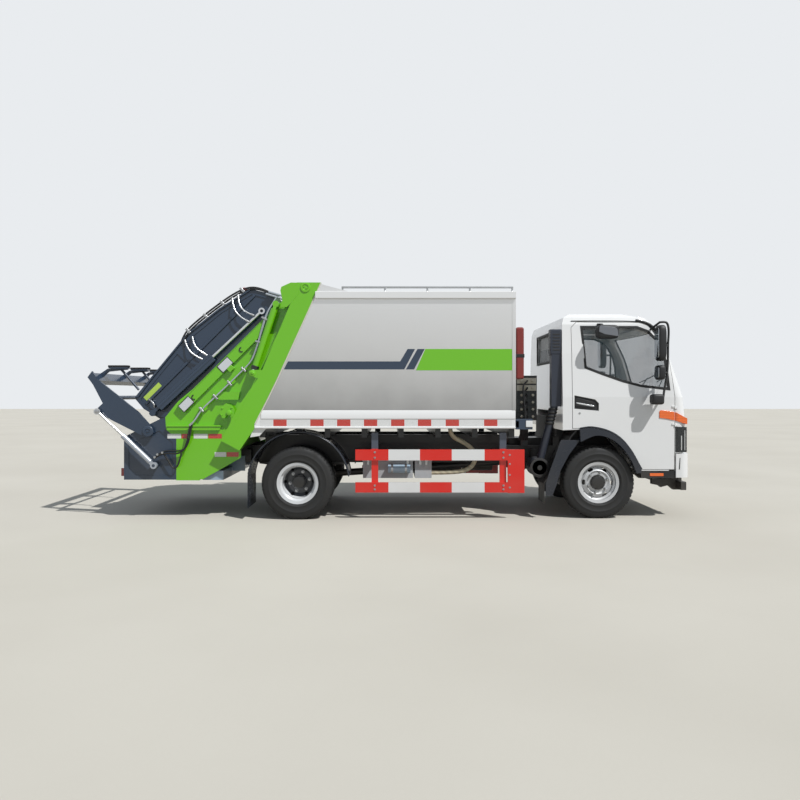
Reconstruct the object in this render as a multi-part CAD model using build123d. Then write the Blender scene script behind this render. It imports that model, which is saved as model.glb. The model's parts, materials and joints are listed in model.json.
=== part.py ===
from build123d import *
import math
import os

# Rear-loading garbage truck, 6.8 m long. Units are millimetres.
# In this file X is measured forward from the rear axle, Y to the vehicle's left and Z up from the
# ground. Only the last step moves everything so that the origin is on the ground under the middle.

# Driving dimensions
WHEELBASE = 3360
REAR_END_X = -2350
FRONT_OVERHANG = 1090
MIDDLE_X = (REAR_END_X + WHEELBASE + FRONT_OVERHANG) / 2

TYRE_R = 402.5
TYRE_W = 215
RIM_R = 205
FLANGE_R = 231
RIM_W = 178
BORE_R = 82
FRONT_TRACK_Y = 828
KINGPIN_Y = 720
TWIN_Y = 780
TWIN_GAP = 250
HAND_HOLES = 6
HAND_HOLE_RING = 156
FRONT_HAND_HOLE = (60, 30)
REAR_HAND_HOLE = (40, 34)
AXLE_Z = TYRE_R
BATTERY_FRONT = 1498
RUN = 0.3

RAIL_Y = 375
RAIL_H = 200
RAIL_W = 60
RAIL_T = 7
RAIL_TOP = 780
RAIL_REAR = -780
RAIL_NOSE = 730
RAIL_FRONT = WHEELBASE + RAIL_NOSE
CROSS_X = (-720, 640, WHEELBASE - 1660, WHEELBASE - 960, RAIL_FRONT - 50)

SPRING_W = 60
SPRING_HALF = 640
SPRING_ARCH = 50
LEAF_T = 14
LEAVES = 4
FRONT_SPRING_Z = 500
REAR_SPRING_Z = 572
STUB_R = 30
SPINDLE_R = 48
RUNNING = 0.05
FRONT_SPRING_Y = 425
REAR_SPRING_Y = 455

BODY_Y = 1050
BODY_WALL = 5
BODY_FLOOR = 1040
SILL_TOP = 1216
SILL_BOTTOM = 1013
BOLSTERS = 6
ROOF_POSTS = 5

# Hinge of the tailgate, and the eyes of the three pairs of cylinders
HINGE = (94, 2568)
ROOF_UNDER_HINGE = 47
BODY_TOP = HINGE[1] - ROOF_UNDER_HINGE
HINGE_PIN_R = 28
LIFT_LOW = (-490, 1622)
LIFT_HIGH = (-237, 2391)
SCRAPER_HINGE = (-1400, 1140)
SCRAPER_LEVER = (-1651, 1180)
SCRAPER_EYE = (-420, 2330)
LIFTER_HINGE = (-1676, 978)
LIFTER_CRANK = (-2226, 1200)
LIFTER_EYE = (-1598, 599)

POST_IN = 912
PACKER_OUT = 900
PACKER_IN = 872
PACKER_GAP = 8
CARRIAGE_OUT = 800
CARRIAGE_T = 30
LIFT_Y = 1003
SCRAPER_CYL_Y = 845
LIFTER_CYL_Y = 975
GUIDE_N = 1796
SLOT_HALF = 37
GUIDE_OUT = 945
SLOT_TOP = 880
GUIDE_TOP = 1340
SHOE_BOTTOM = 10
SHOE_TOP = 380
HOPPER_REAR = -1958
HOPPER_BOTTOM = 433
HOPPER_LIP = 913
SCRAPER_R = 540
FLOOR_R = 560
LIFTER_IN = 912
LIFTER_OUT = 942
LIFTER_PIN_R = 35
HOOK_Y = (-720, 0, 720)
SCRAPER_PIN_R = 35
PIN_R = 18
EYE_R = 36
EYE_HALF = 22
ARCH_R = 566
ARCH_X = 10
ARCH_Z = 410

TOW_REACH = 1020
TOW_Z = 435
TOW_T = 30
TOW_R = 16

# the cab and all that it carries is written with X from the front axle
CAB_REAR = -410
BODY_TO_CAB = 542
BODY_FRONT = WHEELBASE + CAB_REAR - BODY_TO_CAB
CAB_WALL = 38
SIDE_HALF = 960
# how far the cab's side leans in at the belt, the cant rail, the gutter and the roof's edge
SIDE_LEAN = (35, 72, 102, 180)
# a cut through the side starts this far inside it and ends this far outside
SIDE_CUT = (160, 40)
GLASS_IN = 12
GLASS_T = 5
SEAM = 6
# height of the joint between the side and the roof
CANT_Z = 2175
TUNNEL_Y = 462
TUNNEL_Z = 1200
CAB_BOTTOM = 540
STEER_Y = 540
NOSE_X = 770
NOSE_Z = 735
DOOR_HINGE_X = 837
DOOR_HINGE_Y = SIDE_HALF + 7
DOOR_HINGE_Z = (1034, 1230)
GRILLE_SLOTS = 6
HINGE_EYE_R = 6
HINGE_BAR_R = 3


def sheet(points):
    return make_face(Polyline(*points, close=True))


def side_prism(points, y0, y1):
    # an outline in X and Z, solid between two distances to the left
    return Pos(0, y1, 0) * extrude(Plane.XZ * sheet(points), y1 - y0)


def both(solid):
    # a right-hand piece with its mirror image on the left
    return [solid, mirror(solid, about=Plane.XZ)]


def block(x0, x1, y0, y1, z0, z1):
    return Pos((x0 + x1) / 2, (y0 + y1) / 2, (z0 + z1) / 2) * Box(x1 - x0, y1 - y0, z1 - z0)


def rod_y(x, z, y0, y1, r):
    return Pos(x, (y0 + y1) / 2, z) * Rot(90, 0, 0) * Cylinder(r, y1 - y0)


def rod_between(a, b, r):
    # a round bar from point a to point b
    a, b = Vector(*a), Vector(*b)
    d = b - a
    return Plane(origin=(a + b) / 2, z_dir=d) * Cylinder(r, d.length)


def rear_line(shift):
    # rear face of the body's posts, moved along X by shift
    return [(x + shift, z) for x, z in
            ((-2, 2623), (-88, 2349), (-406, 1601), (-649, 1253), (-772, 998), (-840, 880))]


def joint_line():
    # where the box's side plate meets the posts
    return [(262, 2623), (-231, 1538), (-334, 1328), (-467, 1066)]


def tyre():
    # section in radius and width, turned about the axle
    w = TYRE_W / 2
    seat = RIM_R + RUN
    half = [(seat, 50), (seat, 74.6), (FLANGE_R + RUN, 80.5), (FLANGE_R + 9, w * 0.9), (TYRE_R * 0.81, w),
            (TYRE_R - 26, w * 0.93), (TYRE_R, w * 0.74)]
    cavity = [(TYRE_R - 40, w * 0.78), (FLANGE_R + 4, 55)]
    right = half + [(r, -y) for r, y in reversed(half)]
    inner = [(r, -y) for r, y in reversed(cavity)] + cavity
    return revolve(sheet(right + inner), Axis.Y)


def rim(disc, hand_hole):
    # rim with its disc, whose outline in radius and width is given, and the size of its oval holes
    half = [(RIM_R - 19, 30), (RIM_R, 45), (RIM_R, 75), (FLANGE_R, 81), (FLANGE_R, RIM_W / 2), (RIM_R - 6, 83),
            (RIM_R - 8, 48), (RIM_R - 27, 34)]
    outside = half[:5]
    inside = half[5:]
    ring = [(r, -y) for r, y in reversed(outside)] + outside + inside + [(r, -y) for r, y in reversed(inside)]
    plate = revolve(sheet(disc), Axis.Y)
    depth = sum(y for r, y in disc) / len(disc)
    for k in range(HAND_HOLES):
        hole = Rot(90, 0, 0) * Rot(0, 0, 90) * SlotOverall(*hand_hole)
        place = Rot(0, k * 360 / HAND_HOLES, 0) * Pos(HAND_HOLE_RING, depth, 0)
        plate -= place * extrude(hole, 60, both=True)
    return revolve(sheet(ring), Axis.Y) + plate


FRONT_DISC = ((BORE_R - 12, 38), (BORE_R - 12, 47), (BORE_R + 30, 47), (BORE_R + 50, 60), (RIM_R - 44, 44),
              (RIM_R - 26, 24), (RIM_R - 26, 10), (RIM_R - 48, 35), (BORE_R + 48, 50), (BORE_R + 32, 38))
REAR_DISC = ((BORE_R - 12, -116), (BORE_R + 52, -116), (BORE_R + 78, -92), (RIM_R - 27, -24), (RIM_R - 26, -33),
             (RIM_R - 31, -94), (BORE_R + 60, -125), (BORE_R - 12, -125))


def outward(side):
    # turns a left-hand piece to face out on the right, where side is -1
    return Rot(0, 0, 0 if side > 0 else 180)


def front_wheel(side):
    place = Pos(WHEELBASE, side * FRONT_TRACK_Y, AXLE_Z) * outward(side)
    hub = revolve(sheet([(STUB_R + RUNNING, -40), (BORE_R, -40), (BORE_R, 60), (BORE_R - 14, 78), (0, 82), (0, 42),
                         (STUB_R + RUNNING, 42)]), Axis.Y)
    return place * tyre(), place * (rim(FRONT_DISC, FRONT_HAND_HOLE) + hub)


def rear_wheel(side):
    place = Pos(0, side * TWIN_Y, AXLE_Z) * outward(side)
    half = TWIN_GAP / 2
    outer = Pos(0, half, 0)
    inner = Pos(0, -half, 0) * Rot(0, 0, 180)
    hub = revolve(sheet([(SPINDLE_R + RUNNING, -150), (BORE_R, -150), (BORE_R, 90), (BORE_R - 22, 104), (0, 106),
                         (0, 30), (SPINDLE_R + RUNNING, 30)]), Axis.Y)
    tyres = [place * outer * tyre(), place * inner * tyre()]
    dished = rim(REAR_DISC, REAR_HAND_HOLE)
    return tyres, place * (outer * dished + inner * dished + hub)


def leaf_spring(x, y, z):
    # an arched pack of leaves on one centre, the longest on top
    radius = (SPRING_HALF ** 2 + SPRING_ARCH ** 2) / (2 * SPRING_ARCH)
    solid = Part()
    for k in range(LEAVES):
        reach = SPRING_HALF * (1 - 0.2 * k)
        ring = Cylinder(radius + LEAF_T * (k + 1), SPRING_W) - Cylinder(radius + LEAF_T * k, SPRING_W)
        leaf = Pos(x, y, z + radius) * Rot(90, 0, 0) * ring
        solid += leaf & block(x - reach, x + reach, y - SPRING_W, y + SPRING_W, z - 200, z + 100)
    return solid


def chassis_frame():
    # two rails with their brackets, and the cross-members bolted between their webs
    rail = [(RAIL_Y, 0), (RAIL_Y, RAIL_H), (RAIL_Y - RAIL_W, RAIL_H), (RAIL_Y - RAIL_W, RAIL_H - RAIL_T),
            (RAIL_Y - RAIL_T, RAIL_H - RAIL_T), (RAIL_Y - RAIL_T, RAIL_T), (RAIL_Y - RAIL_W, RAIL_T), (RAIL_Y - RAIL_W, 0)]
    base = RAIL_TOP - RAIL_H
    section = sheet([(y, z + base) for y, z in rail])
    left = Pos(RAIL_REAR, 0, 0) * extrude(Plane.YZ * section, RAIL_FRONT - RAIL_REAR)
    for x, y, z in ((WHEELBASE, FRONT_SPRING_Y, FRONT_SPRING_Z), (0, REAR_SPRING_Y, REAR_SPRING_Z)):
        for end in (x - SPRING_HALF, x + SPRING_HALF):
            left += block(end - 30, end + 30, RAIL_Y - RAIL_T, y + SPRING_W / 2, z + SPRING_ARCH + RUN, RAIL_TOP - 40)
    # arms that the cab stands on, behind it and beside the foot wells
    rear_x = WHEELBASE + CAB_REAR + 15
    left += block(rear_x, rear_x + 80, RAIL_Y - RAIL_W, 550, 905, 991 - RUN)
    left += block(rear_x, rear_x + 80, RAIL_Y - RAIL_W, RAIL_Y, RAIL_TOP - RAIL_T, 905)
    left += block(RAIL_FRONT - 100, RAIL_FRONT - 30, RAIL_Y - RAIL_T, TUNNEL_Y - RUN, 600, 700)
    out = [mirror(left, about=Plane.XZ), left]
    for x in CROSS_X:
        out.append(block(x - 30, x + 30, -RAIL_Y + RAIL_T, RAIL_Y - RAIL_T, base + 30, RAIL_TOP - 30))
    # tow lug under the bumper, on the foremost cross-member
    tow_x = WHEELBASE + TOW_REACH
    x0 = CROSS_X[-1] - 30
    tow = block(x0, tow_x + 35, -50, 50, TOW_Z - TOW_T / 2, TOW_Z + TOW_T / 2) + block(x0, x0 + 30, -50, 50, TOW_Z, base + 40)
    out[-1] += tow - Pos(tow_x, 0, TOW_Z) * Cylinder(TOW_R, 100)
    return out


def front_axle():
    beam = block(WHEELBASE - 40, WHEELBASE + 40, -FRONT_SPRING_Y - 60, FRONT_SPRING_Y + 60, 330, 410)
    out = []
    for s in (-1, 1):
        rise = sheet([(FRONT_SPRING_Y + 60, 330), (FRONT_SPRING_Y + 60, 410), (KINGPIN_Y - 34, 430),
                      (KINGPIN_Y - 34, 375)])
        arm = Pos(WHEELBASE - 40, 0, 0) * extrude(Plane.YZ * rise, 80)
        boss = Pos(WHEELBASE, KINGPIN_Y, AXLE_Z) * Cylinder(36, 60)
        part = arm + boss - Pos(WHEELBASE, KINGPIN_Y, AXLE_Z) * Cylinder(18 + RUNNING, 400)
        out.append(part if s > 0 else mirror(part, about=Plane.XZ))
    solid = beam + out[0] + out[1]
    for s in (-1, 1):
        solid += block(WHEELBASE - 60, WHEELBASE + 60, s * FRONT_SPRING_Y - 35, s * FRONT_SPRING_Y + 35, 400, 446)
        solid += leaf_spring(WHEELBASE, s * FRONT_SPRING_Y, FRONT_SPRING_Z)
    return solid


def rear_axle():
    tube = rod_y(0, AXLE_Z, -TWIN_Y + 160, TWIN_Y - 160, 62)
    spindle = rod_y(0, AXLE_Z, -TWIN_Y - 20, TWIN_Y + 20, SPINDLE_R)
    case = Pos(0, 0, AXLE_Z) * Sphere(170)
    nose = Pos(150, 0, AXLE_Z) * Rot(0, 90, 0) * Cone(100, 60, 160)
    solid = tube + spindle + case + nose
    for s in (-1, 1):
        solid += block(-70, 70, s * REAR_SPRING_Y - 35, s * REAR_SPRING_Y + 35, AXLE_Z + 30, REAR_SPRING_Z - LEAVES * LEAF_T + 4)
        solid += leaf_spring(0, s * REAR_SPRING_Y, REAR_SPRING_Z)
    return solid


def knuckle(side):
    # stub axle with its fork above and below the beam's eye
    s = side
    pin = Pos(WHEELBASE, s * KINGPIN_Y, AXLE_Z) * Cylinder(18, 128)
    top = Pos(WHEELBASE, s * KINGPIN_Y, AXLE_Z + 50) * Cylinder(34, 30)
    low = Pos(WHEELBASE, s * KINGPIN_Y, AXLE_Z - 50) * Cylinder(34, 30)
    back = block(WHEELBASE - 34, WHEELBASE + 34, *sorted((s * (KINGPIN_Y + 38), s * (KINGPIN_Y + 60))), AXLE_Z - 65, AXLE_Z + 65)
    ears = [block(WHEELBASE - 30, WHEELBASE + 30, *sorted((s * KINGPIN_Y, s * (KINGPIN_Y + 60))), z, z + 30)
            for z in (AXLE_Z + 35, AXLE_Z - 65)]
    stub = rod_y(WHEELBASE, AXLE_Z, *sorted((s * (KINGPIN_Y + 50), s * (FRONT_TRACK_Y + 36))), STUB_R)
    solid = pin + top + low + back + stub
    for ear in ears:
        solid += ear
    return solid


def plan(x0, x1, half, bulge, z):
    # the cab seen from above at height z: flat back and sides, round corners and a bowed front
    corner, turn = 120, 100
    low = Line((x0, -half), (x1 - corner, -half))
    right = ThreePointArc((x1 - corner, -half), (x1 - 33, -half + 31), (x1, -half + turn))
    front = ThreePointArc((x1, -half + turn), (x1 + bulge, 0), (x1, half - turn))
    left = ThreePointArc((x1, half - turn), (x1 - 33, half - 31), (x1 - corner, half))
    high = Line((x1 - corner, half), (x0, half))
    back = Line((x0, half), (x0, -half))
    return Pos(0, 0, z) * make_face(Curve() + [low, right, front, left, high, back])


def cab_envelope(inset):
    # columns: height, rear, front corner, half width, bow of the front
    belt, cant, gutter, roof = SIDE_LEAN
    table = ((CAB_BOTTOM, CAB_REAR, 958, SIDE_HALF, 96), (1050, CAB_REAR, 986, SIDE_HALF, 96),
             (1360, CAB_REAR, 961, SIDE_HALF, 94),
             (1850, CAB_REAR, 810, SIDE_HALF - belt, 84), (CANT_Z, CAB_REAR + 8, 652, SIDE_HALF - cant, 70),
             (2255, CAB_REAR + 30, 565, SIDE_HALF - gutter, 60), (2300, CAB_REAR + 110, 380, SIDE_HALF - roof, 40))
    sections = []
    for k, (z, x0, x1, half, bulge) in enumerate(table):
        zz = z + (inset if k == 0 else -inset if k == len(table) - 1 else 0)
        sections.append(plan(x0 + inset, x1 - inset, half - inset, bulge, zz))
    return loft(sections, ruled=True)


# the cab's edge over the front wheel, and how far each point moves forward and up with the wall's thickness
ARCH_LINE = ((-225, 998), (-89, 1010), (81, 967), (217, 882), (336, 746), (422, 593), (456, 525))
ARCH_GROWTH = ((0, 1), (0, 1), (0.3, 1), (0.6, 0.8), (0.8, 0.6), (1, 0.4), (1, 0))


def under_cab(grow):
    # what the wheel arches, the engine tunnel and the bumper take out of the cab's underside
    arch = [(-560, 400), (-560, 985 + grow)]
    for (x, z), (along, up) in zip(ARCH_LINE, ARCH_GROWTH):
        arch.append((x + grow * along, z + grow * up))
    arch.append((ARCH_LINE[-1][0] + grow, 400))
    tunnel = block(-560, NOSE_X + 20, -TUNNEL_Y - grow, TUNNEL_Y + grow, 400, TUNNEL_Z + grow)
    nose = block(NOSE_X - grow, 1340, -1100, 1100, 400, NOSE_Z + grow)
    return side_prism(arch, -1100, 1100) + tunnel + nose


DOOR_OUTLINE = ((-299, 1012), (-225, 1012), (-89, 1026), (94, 984), (237, 897), (354, 758), (440, 605),
                (469, 556), (832, 556), (836, 1360), (790, 1780), (750, 1905), (682, 2048), (560, 2160),
                (470, 2192), (-240, 2200), (-299, 2140))
WINDOW_OUTLINE = ((-188, 2148), (-152, 1690), (40, 1615), (267, 1535), (462, 1483), (778, 1447), (748, 1760), (714, 1890),
                  (646, 2010), (560, 2100), (440, 2146))


def grown(points, by):
    return offset(sheet(points), amount=by, kind=Kind.INTERSECTION)


def side_cut(face, y0, y1):
    return Pos(0, y1, 0) * extrude(Plane.XZ * face, y1 - y0)


def door_hinge(side, z):
    # an eye with its pin and leaf on the cab, and the door's eye above it
    y = side * DOOR_HINGE_Y
    y0, y1 = sorted((side * (DOOR_HINGE_Y - 7.5), side * (DOOR_HINGE_Y + 2)))
    tall = 16
    place = Pos(DOOR_HINGE_X, y, z + tall / 2)
    fixed = place * Cylinder(HINGE_EYE_R, tall) + block(DOOR_HINGE_X, DOOR_HINGE_X + 28, y0, y1, z, z + tall)
    fixed += place * Pos(0, 0, tall) * Cylinder(HINGE_BAR_R, tall)
    upper = z + tall + RUN
    swinging = Pos(DOOR_HINGE_X, y, upper + tall / 2) * Cylinder(HINGE_EYE_R, tall)
    swinging += block(DOOR_HINGE_X - 32, DOOR_HINGE_X, y0, y1, upper, upper + tall)
    swinging -= Pos(DOOR_HINGE_X, y, upper) * Cylinder(HINGE_BAR_R + RUNNING, 3 * tall)
    return fixed, swinging


# the pressed tray that the door handle lies in
HANDLE_OUTLINE = ((-280, 1380), (-49, 1334), (-7, 1291), (-7, 1206), (-280, 1230))
HANDLE_DEPTH = 22
REAR_PANE_Y = 450
REAR_PANE_Z = (1780, 2110)
BELT_Z = 1290


def cab():
    wall = cab_envelope(CAB_WALL)
    skin = cab_envelope(0) - wall
    shell = skin - under_cab(0) + ((wall & under_cab(CAB_WALL)) - under_cab(0))
    screen = sheet([(-775, 1470), (775, 1470), (725, 2112), (-725, 2112)])
    shell -= Pos(340, 0, 0) * extrude(Plane.YZ * screen, 900)
    shell -= block(-560, -300, -REAR_PANE_Y, REAR_PANE_Y, *REAR_PANE_Z)
    glass = cab_envelope(GLASS_IN) - cab_envelope(GLASS_IN + GLASS_T)
    # the floor goes out to the doors' inner faces, and the doors end under it
    floor_edge = SIDE_HALF - CAB_WALL
    doors, panes = [], []
    for side in (-1, 1):
        y0, y1 = sorted((side * (SIDE_HALF - SIDE_CUT[0]), side * (SIDE_HALF + SIDE_CUT[1])))
        opening = side_cut(grown(DOOR_OUTLINE, SEAM), y0, y1)
        shell -= opening - block(-560, 1340, -floor_edge + SEAM, floor_edge - SEAM, 400, CAB_BOTTOM + CAB_WALL + SEAM)
        panel = skin & side_cut(sheet(DOOR_OUTLINE), y0, y1)
        panel -= block(-560, 1340, -floor_edge, floor_edge, 400, CAB_BOTTOM + 2 * CAB_WALL)
        panel -= side_cut(sheet(WINDOW_OUTLINE), y0, y1)
        panel -= side_cut(sheet(HANDLE_OUTLINE), *sorted((side * (SIDE_HALF - HANDLE_DEPTH), side * (SIDE_HALF + SIDE_CUT[1]))))
        for z in DOOR_HINGE_Z:
            fixed, swinging = door_hinge(side, z)
            shell += fixed
            panel += swinging
        doors.append(panel)
        panes.append(glass & side_cut(grown(WINDOW_OUTLINE, -RUN), y0, y1))
    # welded from a tub, the posts round the windows and a roof
    bands = [shell & block(-560, 1340, -1100, 1100, low, high)
             for low, high in ((400, BELT_Z), (BELT_Z, CANT_Z), (CANT_Z, 2400))]
    front_glass = glass & (Pos(340, 0, 0) * extrude(Plane.YZ * offset(screen, amount=-RUN), 900))
    low, high = REAR_PANE_Z
    rear_glass = glass & block(-560, -300, -REAR_PANE_Y + RUN, REAR_PANE_Y - RUN, low + RUN, high - RUN)
    return bands, doors, panes, [front_glass, rear_glass]


def cab_trim():
    # wheel arch flares, the valance under each door and the mudguard behind each front wheel
    outer = [(x - RUN, z - RUN) for x, z in ARCH_LINE]
    inner = [(414, 514), (340, 684), (219, 837), (83, 922), (-55, 939), (-217, 871)]
    flare = side_prism(outer + inner, -SIDE_HALF - 25, -SIDE_HALF + 55)
    guard = side_prism([(-240, 997.1), (-310, 916), (-464, 610), (-617, 389), (-622, 395), (-472, 615), (-318, 922),
                        (-250, 996.7)], 10 - SIDE_HALF, -560)
    flap = block(-618, -612, 10 - SIDE_HALF, -640, 176, 389)
    valance = block(462, 840, -SIDE_HALF, 60 - SIDE_HALF, 457, CAB_BOTTOM - RUN)
    return both(flare) + both(guard + flap) + both(valance)


def bumper():
    outer = plan(540, 1012, SIDE_HALF + 15, 78, 0)
    inner = plan(480, 960, SIDE_HALF - 35, 70, 0)
    bar = Pos(0, 0, 465) * extrude(outer - inner, 264)
    bar -= block(-360, 846, -1100, 1100, 400, 800)
    for arm in both(block(RAIL_NOSE + RUN, 1040, -370, -325, 610, 700)):
        bar += arm
    # air slot and pockets for the fog lamps
    bar -= block(900, 1200, -330, 330, 500, 570)
    for side in (-1, 1):
        bar -= Pos(1020, side * 640, 545) * Rot(0, 90, 0) * Cylinder(52, 140)
    return bar


def cab_lamps():
    head = block(846, 1140, -SIDE_HALF - 40, -560, 745, 1030) & (cab_envelope(-6) - cab_envelope(-RUN))
    marker = block(846, 1140, -SIDE_HALF - 40, 160 - SIDE_HALF, 1070, 1165) & (cab_envelope(-12) - cab_envelope(-RUN))
    return both(head) + both(marker)


def grille():
    plate = (cab_envelope(-5) - cab_envelope(-RUN)) & block(840, 1140, -540, 540, 745, 1330)
    for k in range(GRILLE_SLOTS):
        z = 800 + k * 80
        plate -= block(840, 1140, -470, 470, z, z + 34)
    return plate


def seats():
    out = []
    # columns: middle of the seat, its width, inner and outer side of its foot, bottom of the foot
    floor = ARCH_LINE[1][1] + CAB_WALL + RUN
    for y, width, y0, y1, z in ((520, 480, 505, 740, floor), (0, 420, -150, 150, TUNNEL_Z + CAB_WALL + RUN),
                                (-520, 480, -740, -505, floor)):
        base = block(-240, 280, y - width / 2, y + width / 2, 1290, 1400)
        back = side_prism([(-350, 1400), (-170, 1400), (-240, 1960), (-350, 1960)], y - width / 2, y + width / 2)
        out.append(base + back + block(-200, 60, y0, y1, z, 1290))
    return out


def dashboard():
    outline = [(620, 1260), (540, 1300), (580, 1420), (820, 1440), (940, 1300), (940, 1260)]
    board = side_prism(outline, -880, 880)
    pod = side_prism([(550, 1300), (540, 1380), (580, 1500), (720, 1430), (720, 1300)], 330, 710)
    return (board + pod) & cab_envelope(CAB_WALL + RUN)


def steering_wheel():
    centre = Vector(400, STEER_Y, 1590)
    lean = Vector(-0.25, 0, 0.968)
    plane = Plane(origin=centre, z_dir=lean)
    ring = plane * Torus(205, 16)
    hub = plane * Cylinder(50, 40)
    spokes = plane * Box(396, 26, 16)
    foot = centre - lean * ((1590 - 583.8) / 0.968)
    return ring + hub + spokes + rod_between(centre, foot, 22)


def engine():
    lump = block(-460, 460, -300, 300, 640, 1130)
    for x in (-360, 240):
        for mount in both(block(x, x + 80, -RAIL_Y + RAIL_T + RUN, -300, 640, 700)):
            lump += mount
    return lump


def drive_shaft():
    gearbox_x = WHEELBASE - 880
    box = block(gearbox_x, gearbox_x + 420, -170, 170, 480, 860)
    shaft = rod_between((233.2, 0, AXLE_Z + 2), (gearbox_x - 3.2, 0, 560), 42)
    return [box, shaft]


def fuel_tank():
    x0 = WHEELBASE - 2110
    tank = fillet(block(x0, x0 + 700, 415, 795, 380, 720).edges().filter_by(Axis.X), 60)
    for x in (x0 + 130, x0 + 520):
        tank += block(x, x + 50, RAIL_Y + RUN, 440, 600, 700)
    return tank


def battery_boxes():
    out = []
    for x0, x1 in ((719, 1286), (1309, BATTERY_FRONT)):
        out.append(block(x0, x1, -800, -RAIL_Y - RUN, 440, 660))
    return out


def air_tank():
    return Pos(1130, -800 - 48 - RUN, 550) * Rot(0, 90, 0) * Cylinder(48, 250)


def exhaust():
    x = WHEELBASE - 1180
    drum = Pos(x, 600, 500) * Rot(0, 90, 0) * Cylinder(115, 380)
    tail = rod_between((x - 100, 600, 500), (x - 100, 960, 500), 32)
    inlet = rod_between((x + 185, 600, 500), (x + 295, 600, 500), 36)
    return drum + tail + inlet + block(x - 30, x + 30, RAIL_Y + RUN, 600, 590, 630)


def side_guard():
    # two rails and a corner plate on two posts, each post on an arm from the frame
    front = BODY_FRONT - 80
    out = block(643, front, -1020, -990, 660, 780) + block(643, front, -1020, -990, 305, 416)
    out += block(front, front + 185, -1020, -990, 300, 780)
    for x in (821, front - 85):
        out += block(x, x + 74, -990, -960, 305, 965)
        out += block(x, x + 74, -990, -RAIL_Y - RUN, 690, 740)
    return out


def rear_mudguard():
    ring = Rot(90, 0, 0) * (Cylinder(ARCH_R, 500) - Cylinder(ARCH_R - 6, 500))
    ring -= block(-700, 700, -300, 300, -700, 70)
    arch = Pos(ARCH_X, -765, ARCH_Z) * ring
    end = ARCH_X - math.sqrt(ARCH_R ** 2 - 70 ** 2)
    flap = block(end, end + 6, -1010, -520, 130, ARCH_Z + 70)
    stay = block(-20, 40, -900, -600, ARCH_Z + ARCH_R - 4, BODY_FLOOR - 30 - RUN)
    return arch + flap + stay


def air_intake():
    y = 110 - SIDE_HALF
    pipe = block(-523, -415, y - 50, y + 50, 1255, 2110)
    elbow = rod_between((-480, y, 1262), (-630, y + 60, 640), 42)
    drum = rod_y(-645, 562, y, -600, 108)
    arm = block(-720, -675, -600, -RAIL_Y - RUN, 600, 640)
    return pipe + elbow + drum + arm


def valve_block():
    x = BODY_FRONT + 92
    body = block(x, x + 240, -560, -300, 1087, 1609)
    return body + block(x + 80, x + 160, -420, -RAIL_Y + 40, RAIL_TOP + RUN, 1087)


def arced(points):
    # a line through the points of a hose, in X and Z, whose corners are arcs as large as the runs allow
    points = [Vector(*p) for p in points]
    pieces = []
    here = points[0]
    for before, corner, after in zip(points, points[1:], points[2:]):
        reach = 0.45 * min((corner - before).length, (after - corner).length)
        start = corner - (corner - before).normalized() * reach
        end = corner + (after - corner).normalized() * reach
        turn = (corner - before).get_angle(after - corner)
        radius = reach / math.tan(math.radians(turn / 2))
        inward = ((start + end) / 2 - corner).normalized()
        middle = corner + inward * (radius / math.cos(math.radians(turn / 2)) - radius)
        pieces.append(Line(here, start))
        pieces.append(ThreePointArc(start, middle, end))
        here = end
    pieces.append(Line(here, points[-1]))
    return Wire(pieces)


HOSE_R = 25
HOSE_Y = -770
# from the body's floor to the battery box
HOSE_ROUTE = ((1712, BODY_FLOOR - 30 - RUN), (1712, 915), (1870, 845), (1987, 749), (2002, 628), (1926, 536), (1774, 500),
              (BATTERY_FRONT + RUN, 500))


def suction_hose():
    path = arced([(x, HOSE_Y, z) for x, z in HOSE_ROUTE])
    start, along = path @ 0, path % 0
    return sweep(Plane(origin=start, z_dir=along) * Circle(HOSE_R), path=path)


def drip_tank():
    # catches what drips at the tailgate's seam, on two arms from the rails' ends
    tank = block(-1086, -852, -860, 860, 426, 530)
    for arm in both(block(-900, -700, -RAIL_Y - RUN - 14, -RAIL_Y - RUN, 480, 660)):
        tank += arm
    return tank


def joint_x(z):
    # X of the joint line at height z
    line = joint_line()
    for (x1, z1), (x0, z0) in zip(line, line[1:]):
        if z0 <= z <= z1:
            return x0 + (x1 - x0) * (z - z0) / (z1 - z0)
    return line[-1][0]


def body_shell():
    outer = [(joint_x(BODY_TOP), BODY_TOP), (-231, 1538), (-334, 1328), (joint_x(SILL_TOP), SILL_TOP),
             (BODY_FRONT, SILL_TOP), (BODY_FRONT, BODY_TOP)]
    side = side_prism(outer, -BODY_Y, BODY_Y)
    hollow = block(-3000, BODY_FRONT - BODY_WALL, -BODY_Y + BODY_WALL, BODY_Y - BODY_WALL, 0, BODY_TOP - BODY_WALL)
    shell = side - hollow
    # gussets along both edges of the roof, up to the posts
    low, high = BODY_TOP - BODY_WALL, HINGE[1] + 40
    gusset = side_prism([(joint_x(low), low), (joint_x(high), high), (600, low)], -BODY_Y, -BODY_Y + 8)
    for part in both(gusset):
        shell += part
    return shell


def body_frame():
    # sills and floor of the box
    skirt = [(joint_x(SILL_TOP - RUN), SILL_TOP - RUN), (-467, 1066), (-467, SILL_BOTTOM), (BODY_FRONT, SILL_BOTTOM),
             (BODY_FRONT, SILL_TOP - RUN)]
    sill = side_prism(skirt, -BODY_Y, -BODY_Y + BODY_WALL)
    sill += block(-460, BODY_FRONT, -BODY_Y, -BODY_Y + 70, SILL_BOTTOM, BODY_FLOOR)
    floor = block(-460, BODY_FRONT, -BODY_Y + 70, BODY_Y - 70, BODY_FLOOR - 30, BODY_FLOOR)
    return sill + mirror(sill, about=Plane.XZ) + floor


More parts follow.
